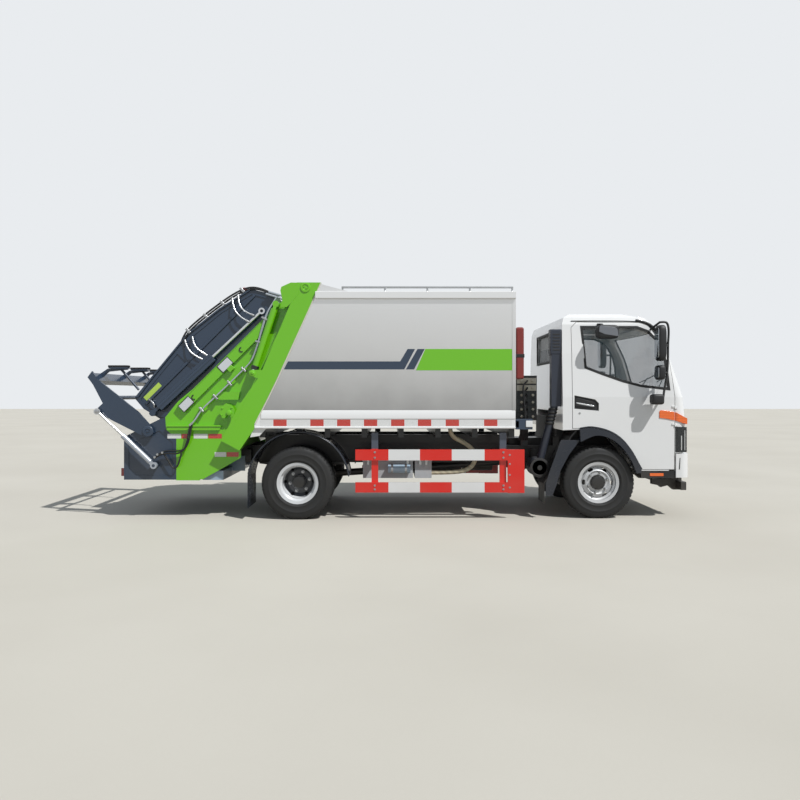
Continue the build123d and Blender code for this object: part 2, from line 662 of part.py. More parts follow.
def subframe():
    # long members that lie on the rails, and bolsters across them under the floor
    middle = BODY_FLOOR - 130
    out = both(block(-460, BODY_FRONT, -RAIL_Y, -RAIL_Y + RAIL_W, RAIL_TOP + RUN, middle))
    front = BODY_FRONT - 60
    for x in [-420] + [300 + k * (front - 300) / (BOLSTERS - 1) for k in range(BOLSTERS)]:
        out.append(block(x, x + 60, -BODY_Y + 70, BODY_Y - 70, middle, BODY_FLOOR - 30))
    return out


def body_posts():
    outline = rear_line(0) + [(-634, 771), (-467 - RUN, SILL_BOTTOM)] + [(x - RUN, z) for x, z in reversed(joint_line())]
    post = side_prism(outline, -BODY_Y, -POST_IN)
    ear = [(-330, 1545), (-450, 1572), (-520, 1595), (-528, 1645), (-500, 1660), (-330, 1660)]
    post += side_prism(ear, -BODY_Y, -LIFT_Y - EYE_HALF - 2) + side_prism(ear, -LIFT_Y + EYE_HALF + 2, -POST_IN)
    post += rod_y(*HINGE, -POST_IN, -PACKER_IN, HINGE_PIN_R)
    sides = both(post)
    tie = side_prism([(-480, BODY_FLOOR), (-765, 1008), (-828, 890), (-634, 795), (-480, 1009)], -POST_IN, POST_IN)
    low, high = BODY_TOP - 91, BODY_TOP
    tie += side_prism([(24, high), (joint_x(high) - RUN, high), (joint_x(low) - RUN, low), (-56, low)], -POST_IN, POST_IN)
    return sides[0] + sides[1] + tie


def roof_rails():
    out = []
    for y in (-1000, 1000):
        z = BODY_TOP + 55
        rail = rod_between((490, y, z), (BODY_FRONT - 18, y, z), 12)
        for k in range(ROOF_POSTS):
            x = 500 + k * (BODY_FRONT - 28 - 500) / (ROOF_POSTS - 1)
            rail += rod_between((x, y, BODY_TOP + RUN), (x, y, z), 10)
        out.append(rail)
    return out


def ejector():
    # a plate leaning forward, with a shallow box behind it
    x, top = BODY_FRONT - 28, BODY_TOP - 41
    outline = [(x - 380, BODY_FLOOR + RUN), (x, BODY_FLOOR + RUN), (x, top), (x - 50, top)]
    hollow = [(x - 320, BODY_FLOOR), (x + 20, BODY_FLOOR), (x + 20, top - 10), (x - 28, top - 40)]
    return side_prism(outline, -1030, 1030) - side_prism(hollow, -1010, 1010)


def slope(u, n):
    # a point given by its run up the 45 degree slide and its height above it
    return ((u - n) / math.sqrt(2), (u + n) / math.sqrt(2))


def slope_prism(points, y0, y1):
    return side_prism([slope(u, n) for u, n in points], y0, y1)


def packer():
    side = rear_line(-PACKER_GAP)[1:] + [(-1112, 425), (-1371, 425), (-1371, 900), (-1485, 993), (-1495, 1132),
                                         (-1351, 1311), (-1180, 1454), (-359, 2265), (-140, 2480), (-66, 2560)]
    ear = [(-66, 2560), (-140, 2480), (-96, 2400), (20, 2532), (HINGE[0] + 10, HINGE[1] - 38), (HINGE[0] + 38, HINGE[1]),
           (HINGE[0] + 10, HINGE[1] + 38), (-20, 2600)]
    plate = side_prism(side, -PACKER_OUT, -PACKER_IN) + side_prism(ear, -PACKER_OUT, -PACKER_IN)
    plate -= rod_y(*HINGE, -BODY_Y, 0, HINGE_PIN_R + RUNNING)
    slot = [(SHOE_BOTTOM - 20, GUIDE_N - SLOT_HALF), (SLOT_TOP, GUIDE_N - SLOT_HALF), (SLOT_TOP, GUIDE_N + SLOT_HALF),
            (SHOE_BOTTOM - 20, GUIDE_N + SLOT_HALF)]
    cover = [(-60, GUIDE_N - 55), (GUIDE_TOP, GUIDE_N - 55), (GUIDE_TOP, GUIDE_N + 55), (-60, GUIDE_N + 55)]
    plate += slope_prism(cover, -GUIDE_OUT, -PACKER_OUT)
    plate -= slope_prism(slot, -GUIDE_OUT + 8, 0)
    # pin that carries the lift cylinder's barrel, with its boss
    plate += rod_y(*LIFT_HIGH, -LIFT_Y + EYE_HALF + 3, -PACKER_OUT, 34)
    plate += rod_y(*LIFT_HIGH, -LIFT_Y - EYE_HALF, -PACKER_OUT, PIN_R)
    # ribs across the plate
    for x0, x1, z0, z1 in ((-1465, -860, 990, 1040), (-940, -650, 1330, 1420)):
        plate += side_prism([(x0, z0), (x0, z1), (x1, z1), (x1 - 20, z0)], -PACKER_OUT - 35, -PACKER_OUT)
    # clamp that pulls the tailgate against the posts
    plate += rod_y(-762, 1184, -PACKER_OUT - 48, -PACKER_OUT, 30)
    beam = side_prism([(-28, 2572), (-71, 2440), (-130, 2440), (-130, 2462)], -PACKER_IN, PACKER_IN)
    sides = both(plate)
    return sides[0] + sides[1] + beam


def hopper():
    hx, hz = SCRAPER_HINGE
    side = [(-1371, HOPPER_BOTTOM), (-1371, 900), (-1485, 993), (-1495, 1132), (-1545, 1118),
            (HOPPER_REAR, HOPPER_LIP), (HOPPER_REAR, HOPPER_BOTTOM)]
    wall = side_prism(side, -PACKER_OUT, -PACKER_IN)
    wall -= side_prism([(-1410, 480), (-1410, 850), (-1560, 985), (-1905, 830), (-1905, 560), (-1830, 480)],
                       -PACKER_OUT, -PACKER_OUT + 8)
    walls = both(wall)
    drum = rod_y(hx, hz, -PACKER_IN, PACKER_IN, FLOOR_R + 12) - rod_y(hx, hz, -PACKER_IN, PACKER_IN, FLOOR_R)
    bowl = side_prism([(HOPPER_REAR + 60, HOPPER_LIP), (-1400, HOPPER_LIP), (hx, hz), (-800, 540), (-1100, 400),
                       (-2100, 400), (-2100, HOPPER_LIP)], -PACKER_IN, PACKER_IN)
    floor = drum & bowl
    s2 = math.sqrt(2)
    ramp = slope_prism([((hx + hz) / s2, GUIDE_N - FLOOR_R), (70, GUIDE_N - FLOOR_R), (58, GUIDE_N - FLOOR_R - 12),
                        ((hx + hz) / s2, GUIDE_N - FLOOR_R - 12)], -PACKER_IN, PACKER_IN)
    back = block(HOPPER_REAR, HOPPER_REAR + 12, -PACKER_IN, PACKER_IN, HOPPER_BOTTOM, HOPPER_LIP)
    base = block(HOPPER_REAR, -1371, -PACKER_IN, PACKER_IN, HOPPER_BOTTOM, HOPPER_BOTTOM + 12)
    lip = side_prism([(HOPPER_REAR, HOPPER_LIP - 14), (HOPPER_REAR, HOPPER_LIP), (-1900, HOPPER_LIP), (-1900, HOPPER_LIP - 14)],
                     -PACKER_IN, PACKER_IN)
    solid = walls[0] + walls[1] + floor + ramp + back + base + lip
    for s in (-1, 1):
        solid += rod_y(*LIFTER_HINGE, *sorted((s * PACKER_OUT, s * LIFTER_OUT)), LIFTER_PIN_R)
        solid += rod_y(*LIFTER_EYE, *sorted((s * (PACKER_OUT - 12), s * (LIFTER_CYL_Y + EYE_HALF))), PIN_R)
        solid += rod_y(*LIFTER_EYE, *sorted((s * (PACKER_OUT - 12), s * (LIFTER_CYL_Y - EYE_HALF - 3))), 30)
    return solid


def tail_lamps():
    out = []
    for s in (-1, 1):
        out.append(block(HOPPER_REAR - 45, HOPPER_REAR - RUN, *sorted((s * 640, s * 860)), 470, 560))
    return out


def carriage():
    outline = [(-256, 1790), (-230, 1745), (-184, 1730), (-130, 1745), (-60, GUIDE_N - 30), (380, GUIDE_N - 30),
               (420, 1850), (1340, 1850), (1590, 1974), (1434, 2225), (1022, 2317), (572, 2371), (-69, 2309),
               (-372, 2277), (-385, 2118), (-330, 1893)]
    panel = slope_prism(outline, -CARRIAGE_OUT, -CARRIAGE_OUT + CARRIAGE_T)
    for recess in ([(-330, 2220), (-345, 2130), (-285, 1940), (330, 1940), (330, 2290), (-60, 2252)],
                   [(430, 1920), (1290, 1920), (1500, 2000), (1400, 2170), (1010, 2265), (600, 2305), (430, 2290)]):
        panel -= slope_prism(recess, -CARRIAGE_OUT, -CARRIAGE_OUT + 10)
    panel -= rod_y(*SCRAPER_HINGE, -BODY_Y, 0, SCRAPER_PIN_R + RUNNING)
    # shoes that run in the slots of the side plates
    half = SLOT_HALF - RUN
    shoe = [(SHOE_BOTTOM, GUIDE_N - half), (SHOE_TOP, GUIDE_N - half), (SHOE_TOP, GUIDE_N + half), (SHOE_BOTTOM, GUIDE_N + half)]
    panel += slope_prism(shoe, -GUIDE_OUT + 14, -CARRIAGE_OUT)
    panel += rod_y(*SCRAPER_EYE, -SCRAPER_CYL_Y + EYE_HALF + 2, -CARRIAGE_OUT + 20, 34)
    sides = both(panel)
    inner = CARRIAGE_OUT - CARRIAGE_T
    plate = slope_prism([(150, 1850), (1330, 1850), (1330, 1870), (150, 1870)], -inner, inner)
    head = slope_prism([(1330, 1850), (1580, 1972), (1500, 2100), (1470, 2085), (1545, 1980), (1320, 1870)], -inner, inner)
    tail = slope_prism([(-372, 2277), (-385, 2200), (-340, 2200), (-300, 2270)], -inner, inner)
    return sides[0] + sides[1] + plate + head + tail


def scraper():
    hx, hz = SCRAPER_HINGE
    reach = CARRIAGE_OUT - CARRIAGE_T - 6
    lever_in, lever_out = CARRIAGE_OUT + 4, SCRAPER_CYL_Y - EYE_HALF - 2
    hub = rod_y(hx, hz, -reach, reach, 60) + rod_y(hx, hz, -lever_out, lever_out, SCRAPER_PIN_R)
    angle = math.radians(-65)
    ax, az = math.cos(angle), math.sin(angle)

    def out(r, t):
        # r along the blade, t across it towards the rear
        return (hx + r * ax + t * az, hz + r * az - t * ax)

    blade = side_prism([out(30, -50), out(300, -38), out(500, 2), out(SCRAPER_R, 40), out(SCRAPER_R - 12, 62),
                        out(480, 40), out(300, 4), out(60, 40)], -reach, reach)
    solid = hub + blade
    lx, lz = SCRAPER_LEVER
    for s in (-1, 1):
        lever = side_prism([(hx + 40, hz - 44), (hx + 48, hz + 34), (lx, lz + 28), (lx - 28, lz), (lx, lz - 28)],
                           *sorted((s * lever_in, s * lever_out)))
        pin = rod_y(lx, lz, *sorted((s * lever_in, s * (SCRAPER_CYL_Y + EYE_HALF))), PIN_R)
        solid += lever + pin
    return solid


def cylinder_pair(low, high, y, tube, radii, stroke):
    # barrels with a closed end and an eye at low, rods with an eye at high, one of each on either side;
    # tube is where the tube starts and ends along the line, and stroke how far the rod still goes in
    a = Vector(low[0], 0, low[1])
    b = Vector(high[0], 0, high[1])
    along = Plane(origin=a, x_dir=(0, 1, 0), z_dir=b - a)
    reach = (b - a).length
    near, far = tube
    r, rod_r = radii
    bottom = near + 14
    barrel = along * Pos(0, 0, (near + far) / 2) * Cylinder(r, far - near)
    barrel += rod_y(low[0], low[1], -EYE_HALF, EYE_HALF, EYE_R)
    barrel += along * Pos(0, 0, near / 2 + 2) * Box(2 * EYE_HALF, 2 * PIN_R, near + 4)
    barrel -= rod_y(low[0], low[1], -100, 100, PIN_R + RUNNING)
    barrel -= along * Pos(0, 0, bottom + far / 2) * Cylinder(rod_r + RUNNING, far)
    start, end = bottom + 2 + stroke, reach - EYE_R + 6
    rod = along * Pos(0, 0, (start + end) / 2) * Cylinder(rod_r, end - start)
    rod += rod_y(high[0], high[1], -EYE_HALF, EYE_HALF, EYE_R)
    rod -= rod_y(high[0], high[1], -100, 100, PIN_R)
    return [[Pos(0, y, 0) * solid, Pos(0, -y, 0) * solid] for solid in (barrel, rod)]


def lifter():
    px, pz = LIFTER_HINGE
    cx, cz = LIFTER_CRANK
    arm = [(px + 60, pz - 20), (px + 40, pz + 50), (-1780, 1190), (-2240, 1560), (-2300, 1650), (-2350, 1581),
           (-2290, 1500), (-2180, 1290), (cx - 30, cz + 20), (cx - 30, cz - 30), (cx + 30, cz - 40), (px - 60, pz - 50)]
    plate = side_prism(arm, -LIFTER_OUT, -LIFTER_IN)
    plate -= rod_y(px, pz, -BODY_Y, 0, LIFTER_PIN_R + RUNNING)
    sides = both(plate)
    solid = sides[0] + sides[1]
    solid += side_prism([(-2350, 1581), (-2290, 1500), (-2230, 1545), (-2290, 1630)], -LIFTER_IN, LIFTER_IN)
    solid += rod_y(-2190, 1350, -LIFTER_IN, LIFTER_IN, 24)
    # hooks for the bins' rims, each with a pad on top and a bar down to the bin's front
    for y in HOOK_Y:
        solid += side_prism([(-2290, 1628), (-2210, 1682), (-1975, 1690), (-1975, 1672), (-2190, 1650), (-2262, 1585)], y - 9, y + 9)
        solid += block(-2180, -1975, y - 55, y + 55, 1684, 1702)
        solid += rod_between((-2065, y, 1690), (-1852, y, 1442), 14)
    return solid


MIRROR_CORNER = 40


def door_mirrors():
    # columns: rear, front, inner and outer side, bottom and top of each head, then where its bar starts
    heads = ((578, 668, -1200, -1030, 1754, 2147, (724, -1060, 1930)), (578, 654, -1200, -1030, 1548, 1709, (715, -1060, 1630)),
             (530, 664, -1140, -1010, 1277, 1393, (670, -1060, 1338)), (-68, 173, -1130, -1000, 2000, 2152, (20, -880, 2160)))
    route = [(670, -1060, 1338), (680, -1060, 1430), (715, -1060, 1600), (724, -1060, 1950), (732, -1060, 2130),
             (690, -1060, 2180), (620, -1060, 2180)]
    arm = Part()
    for a, b in zip(route, route[1:]):
        arm += rod_between(a, b, 13)
    for p in route[:-1]:
        arm += Pos(*p) * Sphere(14)
    arm += rod_between((670, -1060, 1338), (670, -940, 1330), 12)
    arm += rod_between((724, -1060, 1950), (690, -890, 1950), 8)
    arm += rod_between((628, -1060, 2180), (585, -880, 2112), 8)
    over_door = Part()
    for x0, x1, y0, y1, z0, z1, start in heads:
        head = fillet(block(x0, x1, y0, y1, z0, z1).edges().filter_by(Axis.X), MIRROR_CORNER)
        head += rod_between(start, (x1 - 20 if x1 > 240 else 40, (y0 + y1) / 2, (z0 + z1) / 2), 8)
        if x1 > 240:
            arm += head
        else:
            over_door = head
    clear = cab_envelope(-RUN)
    return [arm - clear, over_door - clear]


def save(name, solids):
    parts = solids if isinstance(solids, (list, tuple)) else [solids]
    pieces = []
    for part in parts:
        pieces += part.solids()
    moved = [Pos(-MIDDLE_X, 0, 0) * piece for piece in pieces]
    shape = moved[0] if len(moved) == 1 else Compound(children=moved)
    export_step(shape, "parts/" + name + ".step")


def at_front(solids):
    # what is written from the front axle, moved to it
    parts = solids if isinstance(solids, (list, tuple)) else [solids]
    return [Pos(WHEELBASE, 0, 0) * part for part in parts]


def main():
    os.makedirs("parts", exist_ok=True)
    save("chassis_frame", chassis_frame())
    save("front_axle", front_axle())
    save("rear_axle", rear_axle())
    save("engine_block", at_front(engine()))
    save("drive_shaft", drive_shaft())
    save("fuel_tank", fuel_tank())
    save("battery_boxes", battery_boxes())
    save("air_tank", air_tank())
    save("exhaust", exhaust())
    save("side_guards", both(side_guard()))
    save("rear_mudguards", both(rear_mudguard()))
    save("air_intake", at_front(air_intake()))
    save("valve_block", valve_block())
    save("suction_hose", suction_hose())
    save("drip_tank", drip_tank())
    shell, doors, panes, glass = cab()
    save("cab_shell", at_front(shell))
    save("cab_glass", at_front(glass))
    save("cab_trim", at_front(cab_trim()))
    save("bumper", at_front(bumper()))
    save("cab_lamps", at_front(cab_lamps()))
    save("grille", at_front(grille()))
    save("seats", at_front(seats()))
    save("dashboard", at_front(dashboard()))
    save("steering_wheel", at_front(steering_wheel()))
    mirrors = door_mirrors()
    for k, side in enumerate(("right", "left")):
        sign = 2 * k - 1
        save("door_" + side, at_front(doors[k]))
        save("door_glass_" + side, at_front(panes[k]))
        save("mirrors_" + side, at_front([both(solid)[k] for solid in mirrors]))
        save("knuckle_" + side, knuckle(sign))
        front_tyre, front_rim = front_wheel(sign)
        save("tyre_front_" + side, front_tyre)
        save("wheel_front_" + side, front_rim)
        rear_tyres, rear_rim = rear_wheel(sign)
        save("tyres_rear_" + side, rear_tyres)
        save("wheel_rear_" + side, rear_rim)
    save("body_shell", body_shell())
    save("body_frame", body_frame())
    save("subframe", subframe())
    save("body_posts", body_posts())
    save("roof_rails", roof_rails())
    save("ejector", ejector())
    save("packer", packer())
    save("hopper", hopper())
    save("tail_lamps", tail_lamps())
    save("carriage", carriage())
    save("scraper", scraper())
    save("lifter", lifter())
    # columns: name, low eye, high eye, place, tube's start and end, radii of tube and rod, stroke still to go in
    for name, low, high, y, tube, radii, stroke in (
            ("lift", LIFT_HIGH, LIFT_LOW, LIFT_Y, (60, 735), (38, 22), 4),
            ("scraper", SCRAPER_LEVER, SCRAPER_EYE, SCRAPER_CYL_Y, (95, 930), (38, 20), 372),
            ("lifter", LIFTER_EYE, LIFTER_CRANK, LIFTER_CYL_Y, (58, 482), (30, 16), 348)):
        barrels, rods = cylinder_pair(low, high, y, tube, radii, stroke)
        save(name + "_barrels", barrels)
        save(name + "_rods", rods)


main()
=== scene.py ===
import json
import math

import bmesh
import bpy
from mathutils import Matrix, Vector


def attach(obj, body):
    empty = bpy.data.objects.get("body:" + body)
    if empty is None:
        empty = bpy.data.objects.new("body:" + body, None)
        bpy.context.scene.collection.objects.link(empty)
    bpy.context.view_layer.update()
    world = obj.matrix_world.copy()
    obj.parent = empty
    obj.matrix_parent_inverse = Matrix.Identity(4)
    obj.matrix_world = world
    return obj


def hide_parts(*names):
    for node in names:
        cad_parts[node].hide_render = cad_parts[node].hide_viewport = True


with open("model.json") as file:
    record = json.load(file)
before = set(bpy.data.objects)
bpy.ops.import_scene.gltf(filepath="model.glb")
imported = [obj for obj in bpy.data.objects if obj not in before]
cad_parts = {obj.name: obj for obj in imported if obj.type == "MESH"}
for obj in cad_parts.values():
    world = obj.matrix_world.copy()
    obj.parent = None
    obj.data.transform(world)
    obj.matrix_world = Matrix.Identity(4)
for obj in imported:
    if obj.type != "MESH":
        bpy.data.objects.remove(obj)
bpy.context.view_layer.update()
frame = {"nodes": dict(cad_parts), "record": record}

nodes = frame["nodes"]

# In this file X is written from the rear axle, as on a maker's drawing; AXLE_X is that axle in the frame.
AXLE_X = -1.05
AXLE_Z = 0.4025
FRONT_X = 3.36
# Middle of the front tyres and of the two in each rear pair
FRONT_Y = 0.828
REAR_YS = (0.905, 0.655)
SIDES = (-1, 1)
SIDE_NAME = {-1: "right", 1: "left"}


# Colours and shader nodes

def linear(code):
    """An sRGB hex colour as linear RGBA."""
    out = []
    for k in (0, 2, 4):
        c = int(code[k:k + 2], 16) / 255
        out.append(c / 12.92 if c <= 0.04045 else ((c + 0.055) / 1.055) ** 2.4)
    return (*out, 1.0)


def put(tree, kind, links=None, **settings):
    """Adds one shader node with its settings; links gives its inputs, each a value or another node's output."""
    made = tree.nodes.new("ShaderNode" + kind)
    for name, value in settings.items():
        setattr(made, name, value)
    for name, value in (links or {}).items():
        if isinstance(value, bpy.types.NodeSocket):
            tree.links.new(value, made.inputs[name])
        else:
            made.inputs[name].default_value = value
    return made


def blank(name):
    """An empty material with its tree, its object coordinates and its shader."""
    made = bpy.data.materials.new(name)
    made.use_nodes = True
    tree = made.node_tree
    tree.nodes.clear()
    shader = put(tree, "BsdfPrincipled")
    put(tree, "OutputMaterial", {"Surface": shader.outputs["BSDF"]})
    where = put(tree, "TexCoord").outputs["Object"]
    return made, tree, where, shader


def finish(tree, shader, colour=None, rough=None, relief=None, **values):
    """Joins what is worked out to the shader; relief is a height and its depth in metres, values plain settings."""
    normal = put(tree, "Bump", {"Height": relief[0], "Distance": relief[1]}).outputs["Normal"] if relief else None
    for name, socket in (("Base Color", colour), ("Roughness", rough), ("Normal", normal)):
        if isinstance(socket, bpy.types.NodeSocket):
            tree.links.new(socket, shader.inputs[name])
        elif socket is not None:
            shader.inputs[name].default_value = socket
    for name, value in values.items():
        shader.inputs[name.replace("_", " ")].default_value = value


def road_film_and_shade(tree, where, top, strength, even=0.0):
    """How much film lies on a point: more of it lower down, in soft patches; even is the least share of it. On most
    finishes it is road film; on the silver box it is painted reflection.
    """
    height = put(tree, "SeparateXYZ", {"Vector": where})
    low = put(tree, "MapRange", {"Value": height.outputs["Z"], "From Min": 0.25, "From Max": top, "To Min": strength,
                                 "To Max": 0.0})
    spots = put(tree, "TexNoise", {"Vector": where, "Scale": 1 / 0.35, "Detail": 6.0})
    patches = put(tree, "MapRange", {"Value": spots.outputs["Fac"], "From Min": 0.35, "From Max": 0.7, "To Min": even})
    return put(tree, "Math", {0: low.outputs[0], 1: patches.outputs[0]}, operation="MULTIPLY").outputs[0]


def orange_peel(tree, where):
    """The skin of sprayed paint: lumps of about 4 mm."""
    return put(tree, "TexNoise", {"Vector": where, "Scale": 1 / 0.004, "Detail": 1.0}).outputs["Fac"]


DUST = "8F887C"
PEEL_HIGH = 0.00006


def enamel(name, code, roughness=0.28, coat=0.6, metallic=0.0, dust=0.25, dust_top=1.2, fade=0.05, even=0.0,
           film_and_shade_code=DUST):
    """Sprayed two-pack paint: a clear gloss over the colour, with the fine waviness of sprayed paint."""
    made, tree, where, shader = blank(name)
    paler = tuple(min(1, c * 1.12 + 0.01) for c in linear(code)[:3]) + (1,)
    cloud = put(tree, "TexNoise", {"Vector": where, "Scale": 1 / 0.8, "Detail": 3.0})
    faded = put(tree, "Math", {0: cloud.outputs["Fac"], 1: fade * 4}, operation="MULTIPLY")
    base = put(tree, "Mix", {"Factor": faded.outputs[0], 6: linear(code), 7: paler}, data_type="RGBA")
    # on the silver box this film is painted reflection, darker lower down
    film = road_film_and_shade(tree, where, dust_top, dust, even)
    dirty = put(tree, "Mix", {"Factor": film, 6: base.outputs[2], 7: linear(film_and_shade_code)}, data_type="RGBA")
    rough = put(tree, "Math", {0: film, 1: 0.9, 2: roughness}, operation="MULTIPLY_ADD")
    finish(tree, shader, dirty.outputs[2], rough.outputs[0], (orange_peel(tree, where), PEEL_HIGH),
           Metallic=metallic, Coat_Weight=coat, Coat_Roughness=0.06, IOR=1.5)
    return made


def moulded(name, code, roughness=0.5, grain=0.0016, depth=0.00008, dust=0.25):
    """Moulded plastic or rubber with an etched grain, greyed a little by dust."""
    made, tree, where, shader = blank(name)
    dirty = put(tree, "Mix", {"Factor": road_film_and_shade(tree, where, 1.4, dust), 6: linear(code), 7: linear("7E786E")},
                data_type="RGBA")
    handled = put(tree, "TexNoise", {"Vector": where, "Scale": 1 / 0.12, "Detail": 3.0})
    rough = put(tree, "MapRange", {"Value": handled.outputs["Fac"], "From Min": 0.3, "From Max": 0.7,
                                   "To Min": roughness - 0.06, "To Max": roughness + 0.08})
    cells = put(tree, "TexVoronoi", {"Vector": where, "Scale": 1 / grain})
    finish(tree, shader, dirty.outputs[2], rough.outputs[0], (cells.outputs["Distance"], depth), IOR=1.46)
    return made


def plated(name, code, roughness, scratch=0.016, stretch=(1, 1, 60)):
    """Bare or plated steel with the fine lines of its grinding, and duller clouds where it has been handled."""
    made, tree, where, shader = blank(name)
    lines = put(tree, "Mapping", {"Vector": where, "Scale": stretch})
    grain = put(tree, "TexNoise", {"Vector": lines.outputs["Vector"], "Scale": 1 / scratch, "Detail": 2.0})
    rough = put(tree, "MapRange", {"Value": grain.outputs["Fac"], "From Min": 0.3, "From Max": 0.7,
                                   "To Min": roughness * 0.7, "To Max": roughness * 1.4})
    cloud = put(tree, "TexNoise", {"Vector": where, "Scale": 1 / 0.09, "Detail": 3.0})
    dull = put(tree, "MapRange", {"Value": cloud.outputs["Fac"], "From Min": 0.4, "From Max": 0.8, "To Max": 0.25})
    tone = put(tree, "Mix", {"Factor": dull.outputs[0], 6: linear(code), 7: linear("8C8B88")}, data_type="RGBA")
    finish(tree, shader, tone.outputs[2], rough.outputs[0], Metallic=1.0)
    return made


def cast(name, code):
    """A sand casting under thin paint: a coarse skin, with rust in its hollows."""
    made, tree, where, shader = blank(name)
    skin = put(tree, "TexNoise", {"Vector": where, "Scale": 1 / 0.006, "Detail": 6.0})
    spots = put(tree, "TexNoise", {"Vector": where, "Scale": 1 / 0.05, "Detail": 6.0})
    rust = put(tree, "MapRange", {"Value": spots.outputs["Fac"], "From Min": 0.55, "From Max": 0.75, "To Max": 0.5})
    tone = put(tree, "Mix", {"Factor": rust.outputs[0], 6: linear(code), 7: linear("5B4636")}, data_type="RGBA")
    finish(tree, shader, tone.outputs[2], 0.62, (skin.outputs["Fac"], 0.0006), Metallic=0.1)
    return made


def lens(name, code, dark=0.45):
    """A moulded acrylic lens: deep colour, wet gloss and the fluting that spreads the light."""
    made, tree, where, shader = blank(name)
    # flutes about 17 mm apart, coarser than real ones so that they show
    flutes = put(tree, "TexWave", {"Vector": where, "Scale": 18.0}, bands_direction="Z")
    share = put(tree, "Math", {0: flutes.outputs["Fac"], 1: dark}, operation="MULTIPLY")
    darker = tuple(c * 0.45 for c in linear(code)[:3]) + (1,)
    tone = put(tree, "Mix", {"Factor": share.outputs[0], 6: linear(code), 7: darker}, data_type="RGBA")
    finish(tree, shader, tone.outputs[2], 0.08, (flutes.outputs["Fac"], 0.0012), Coat_Weight=1.0, Coat_Roughness=0.02,
           IOR=1.49)
    return made


def safety_glass(name, code, alpha):
    """Tinted laminated glass: mostly see-through, with a sharp reflection and a faint haze of wiping."""
    made, tree, where, shader = blank(name)
    haze = put(tree, "TexNoise", {"Vector": where, "Scale": 1 / 0.5, "Detail": 3.0})
    share = put(tree, "Math", {0: haze.outputs["Fac"], 1: 0.2}, operation="MULTIPLY")
    tone = put(tree, "Mix", {"Factor": share.outputs[0], 6: linear(code), 7: linear("93A3A6")}, data_type="RGBA")
    rough = put(tree, "MapRange", {"Value": haze.outputs["Fac"], "From Min": 0.3, "From Max": 0.8, "To Min": 0.01,
                                   "To Max": 0.04})
    finish(tree, shader, tone.outputs[2], rough.outputs[0], Alpha=alpha, IOR=1.52, Specular_IOR_Level=0.8)
    return made


def cloth(name, code, thread=0.004):
    """Woven seat cloth; real threads are under a millimetre, drawn at 4 mm so that they show."""
    made, tree, where, shader = blank(name)
    weave = put(tree, "TexChecker", {"Vector": where, "Scale": 1 / thread})
    share = put(tree, "Math", {0: weave.outputs["Fac"], 1: 0.35}, operation="MULTIPLY")
    tone = put(tree, "Mix", {"Factor": share.outputs[0], 6: linear(code), 7: linear("5A5C60")}, data_type="RGBA")
    finish(tree, shader, tone.outputs[2], 0.9, (weave.outputs["Fac"], 0.0006), Sheen_Weight=0.3, Sheen_Roughness=0.5)
    return made


def tyre_rubber(name):
    """Vulcanised rubber: near black, with a brown-grey bloom on the shoulders and dust on it."""
    made, tree, where, shader = blank(name)
    spots = put(tree, "TexNoise", {"Vector": where, "Scale": 1 / 0.08, "Detail": 6.0})
    bloom = put(tree, "MapRange", {"Value": spots.outputs["Fac"], "From Min": 0.4, "From Max": 0.75})
    share = put(tree, "Math", {0: bloom.outputs[0], 1: 0.35}, operation="MULTIPLY")
    tone = put(tree, "Mix", {"Factor": share.outputs[0], 6: linear("141516"), 7: linear("3B3935")}, data_type="RGBA")
    rough = put(tree, "MapRange", {"Value": bloom.outputs[0], "To Min": 0.62, "To Max": 0.85})
    skin = put(tree, "TexNoise", {"Vector": where, "Scale": 1 / 0.003, "Detail": 2.0})
    finish(tree, shader, tone.outputs[2], rough.outputs[0], (skin.outputs["Fac"], 0.0003), IOR=1.5)
    return made


def guard_stripes(name, edges, slate_from):
    """Red and white warning paint in blocks along X, on rails; the posts' tops above slate_from stay slate."""
    made, tree, where, shader = blank(name)
    place = put(tree, "SeparateXYZ", {"Vector": where})
    red, white = linear("DC1A08"), linear("E6E6E4")
    colour = red
    for k, edge in enumerate(edges):
        past = put(tree, "Math", {0: place.outputs["X"], 1: edge + AXLE_X}, operation="GREATER_THAN")
        blend = put(tree, "Mix", {"Factor": past.outputs[0], 6: colour, 7: red if k % 2 else white}, data_type="RGBA")
        colour = blend.outputs[2]
    above = put(tree, "Math", {0: place.outputs["Z"], 1: slate_from}, operation="GREATER_THAN")
    blend = put(tree, "Mix", {"Factor": above.outputs[0], 6: colour, 7: linear("454D5C")}, data_type="RGBA")
    dirty = put(tree, "Mix", {"Factor": road_film_and_shade(tree, where, 0.9, 0.14), 6: blend.outputs[2], 7: linear(DUST)},
                data_type="RGBA")
    finish(tree, shader, dirty.outputs[2], 0.32, (orange_peel(tree, where), PEEL_HIGH), Coat_Weight=0.4,
           Coat_Roughness=0.1)
    return made


def dished_wheel(name, dish_r):
    """Wheel enamel: a bright rim, and a dish inside the radius dish_r in dark primer, round the rear axle's line."""
    made, tree, where, shader = blank(name)
    centred = put(tree, "VectorMath", {0: where, 1: (AXLE_X, 0, AXLE_Z)}, operation="SUBTRACT")
    flat = put(tree, "VectorMath", {0: centred.outputs[0], 1: (1, 0, 1)}, operation="MULTIPLY")
    radius = put(tree, "VectorMath", {0: flat.outputs[0]}, operation="LENGTH")
    inside = put(tree, "Math", {0: radius.outputs["Value"], 1: dish_r}, operation="LESS_THAN")
    tone = put(tree, "Mix", {"Factor": inside.outputs[0], 6: linear("D3D5D6"), 7: linear("3F444C")}, data_type="RGBA")
    dirty = put(tree, "Mix", {"Factor": road_film_and_shade(tree, where, 0.7, 0.35), 6: tone.outputs[2], 7: linear(DUST)},
                data_type="RGBA")
    rough = put(tree, "MapRange", {"Value": inside.outputs[0], "To Min": 0.33, "To Max": 0.55})
    finish(tree, shader, dirty.outputs[2], rough.outputs[0], (orange_peel(tree, where), 0.00008), Coat_Weight=0.3,
           Coat_Roughness=0.1)
    return made


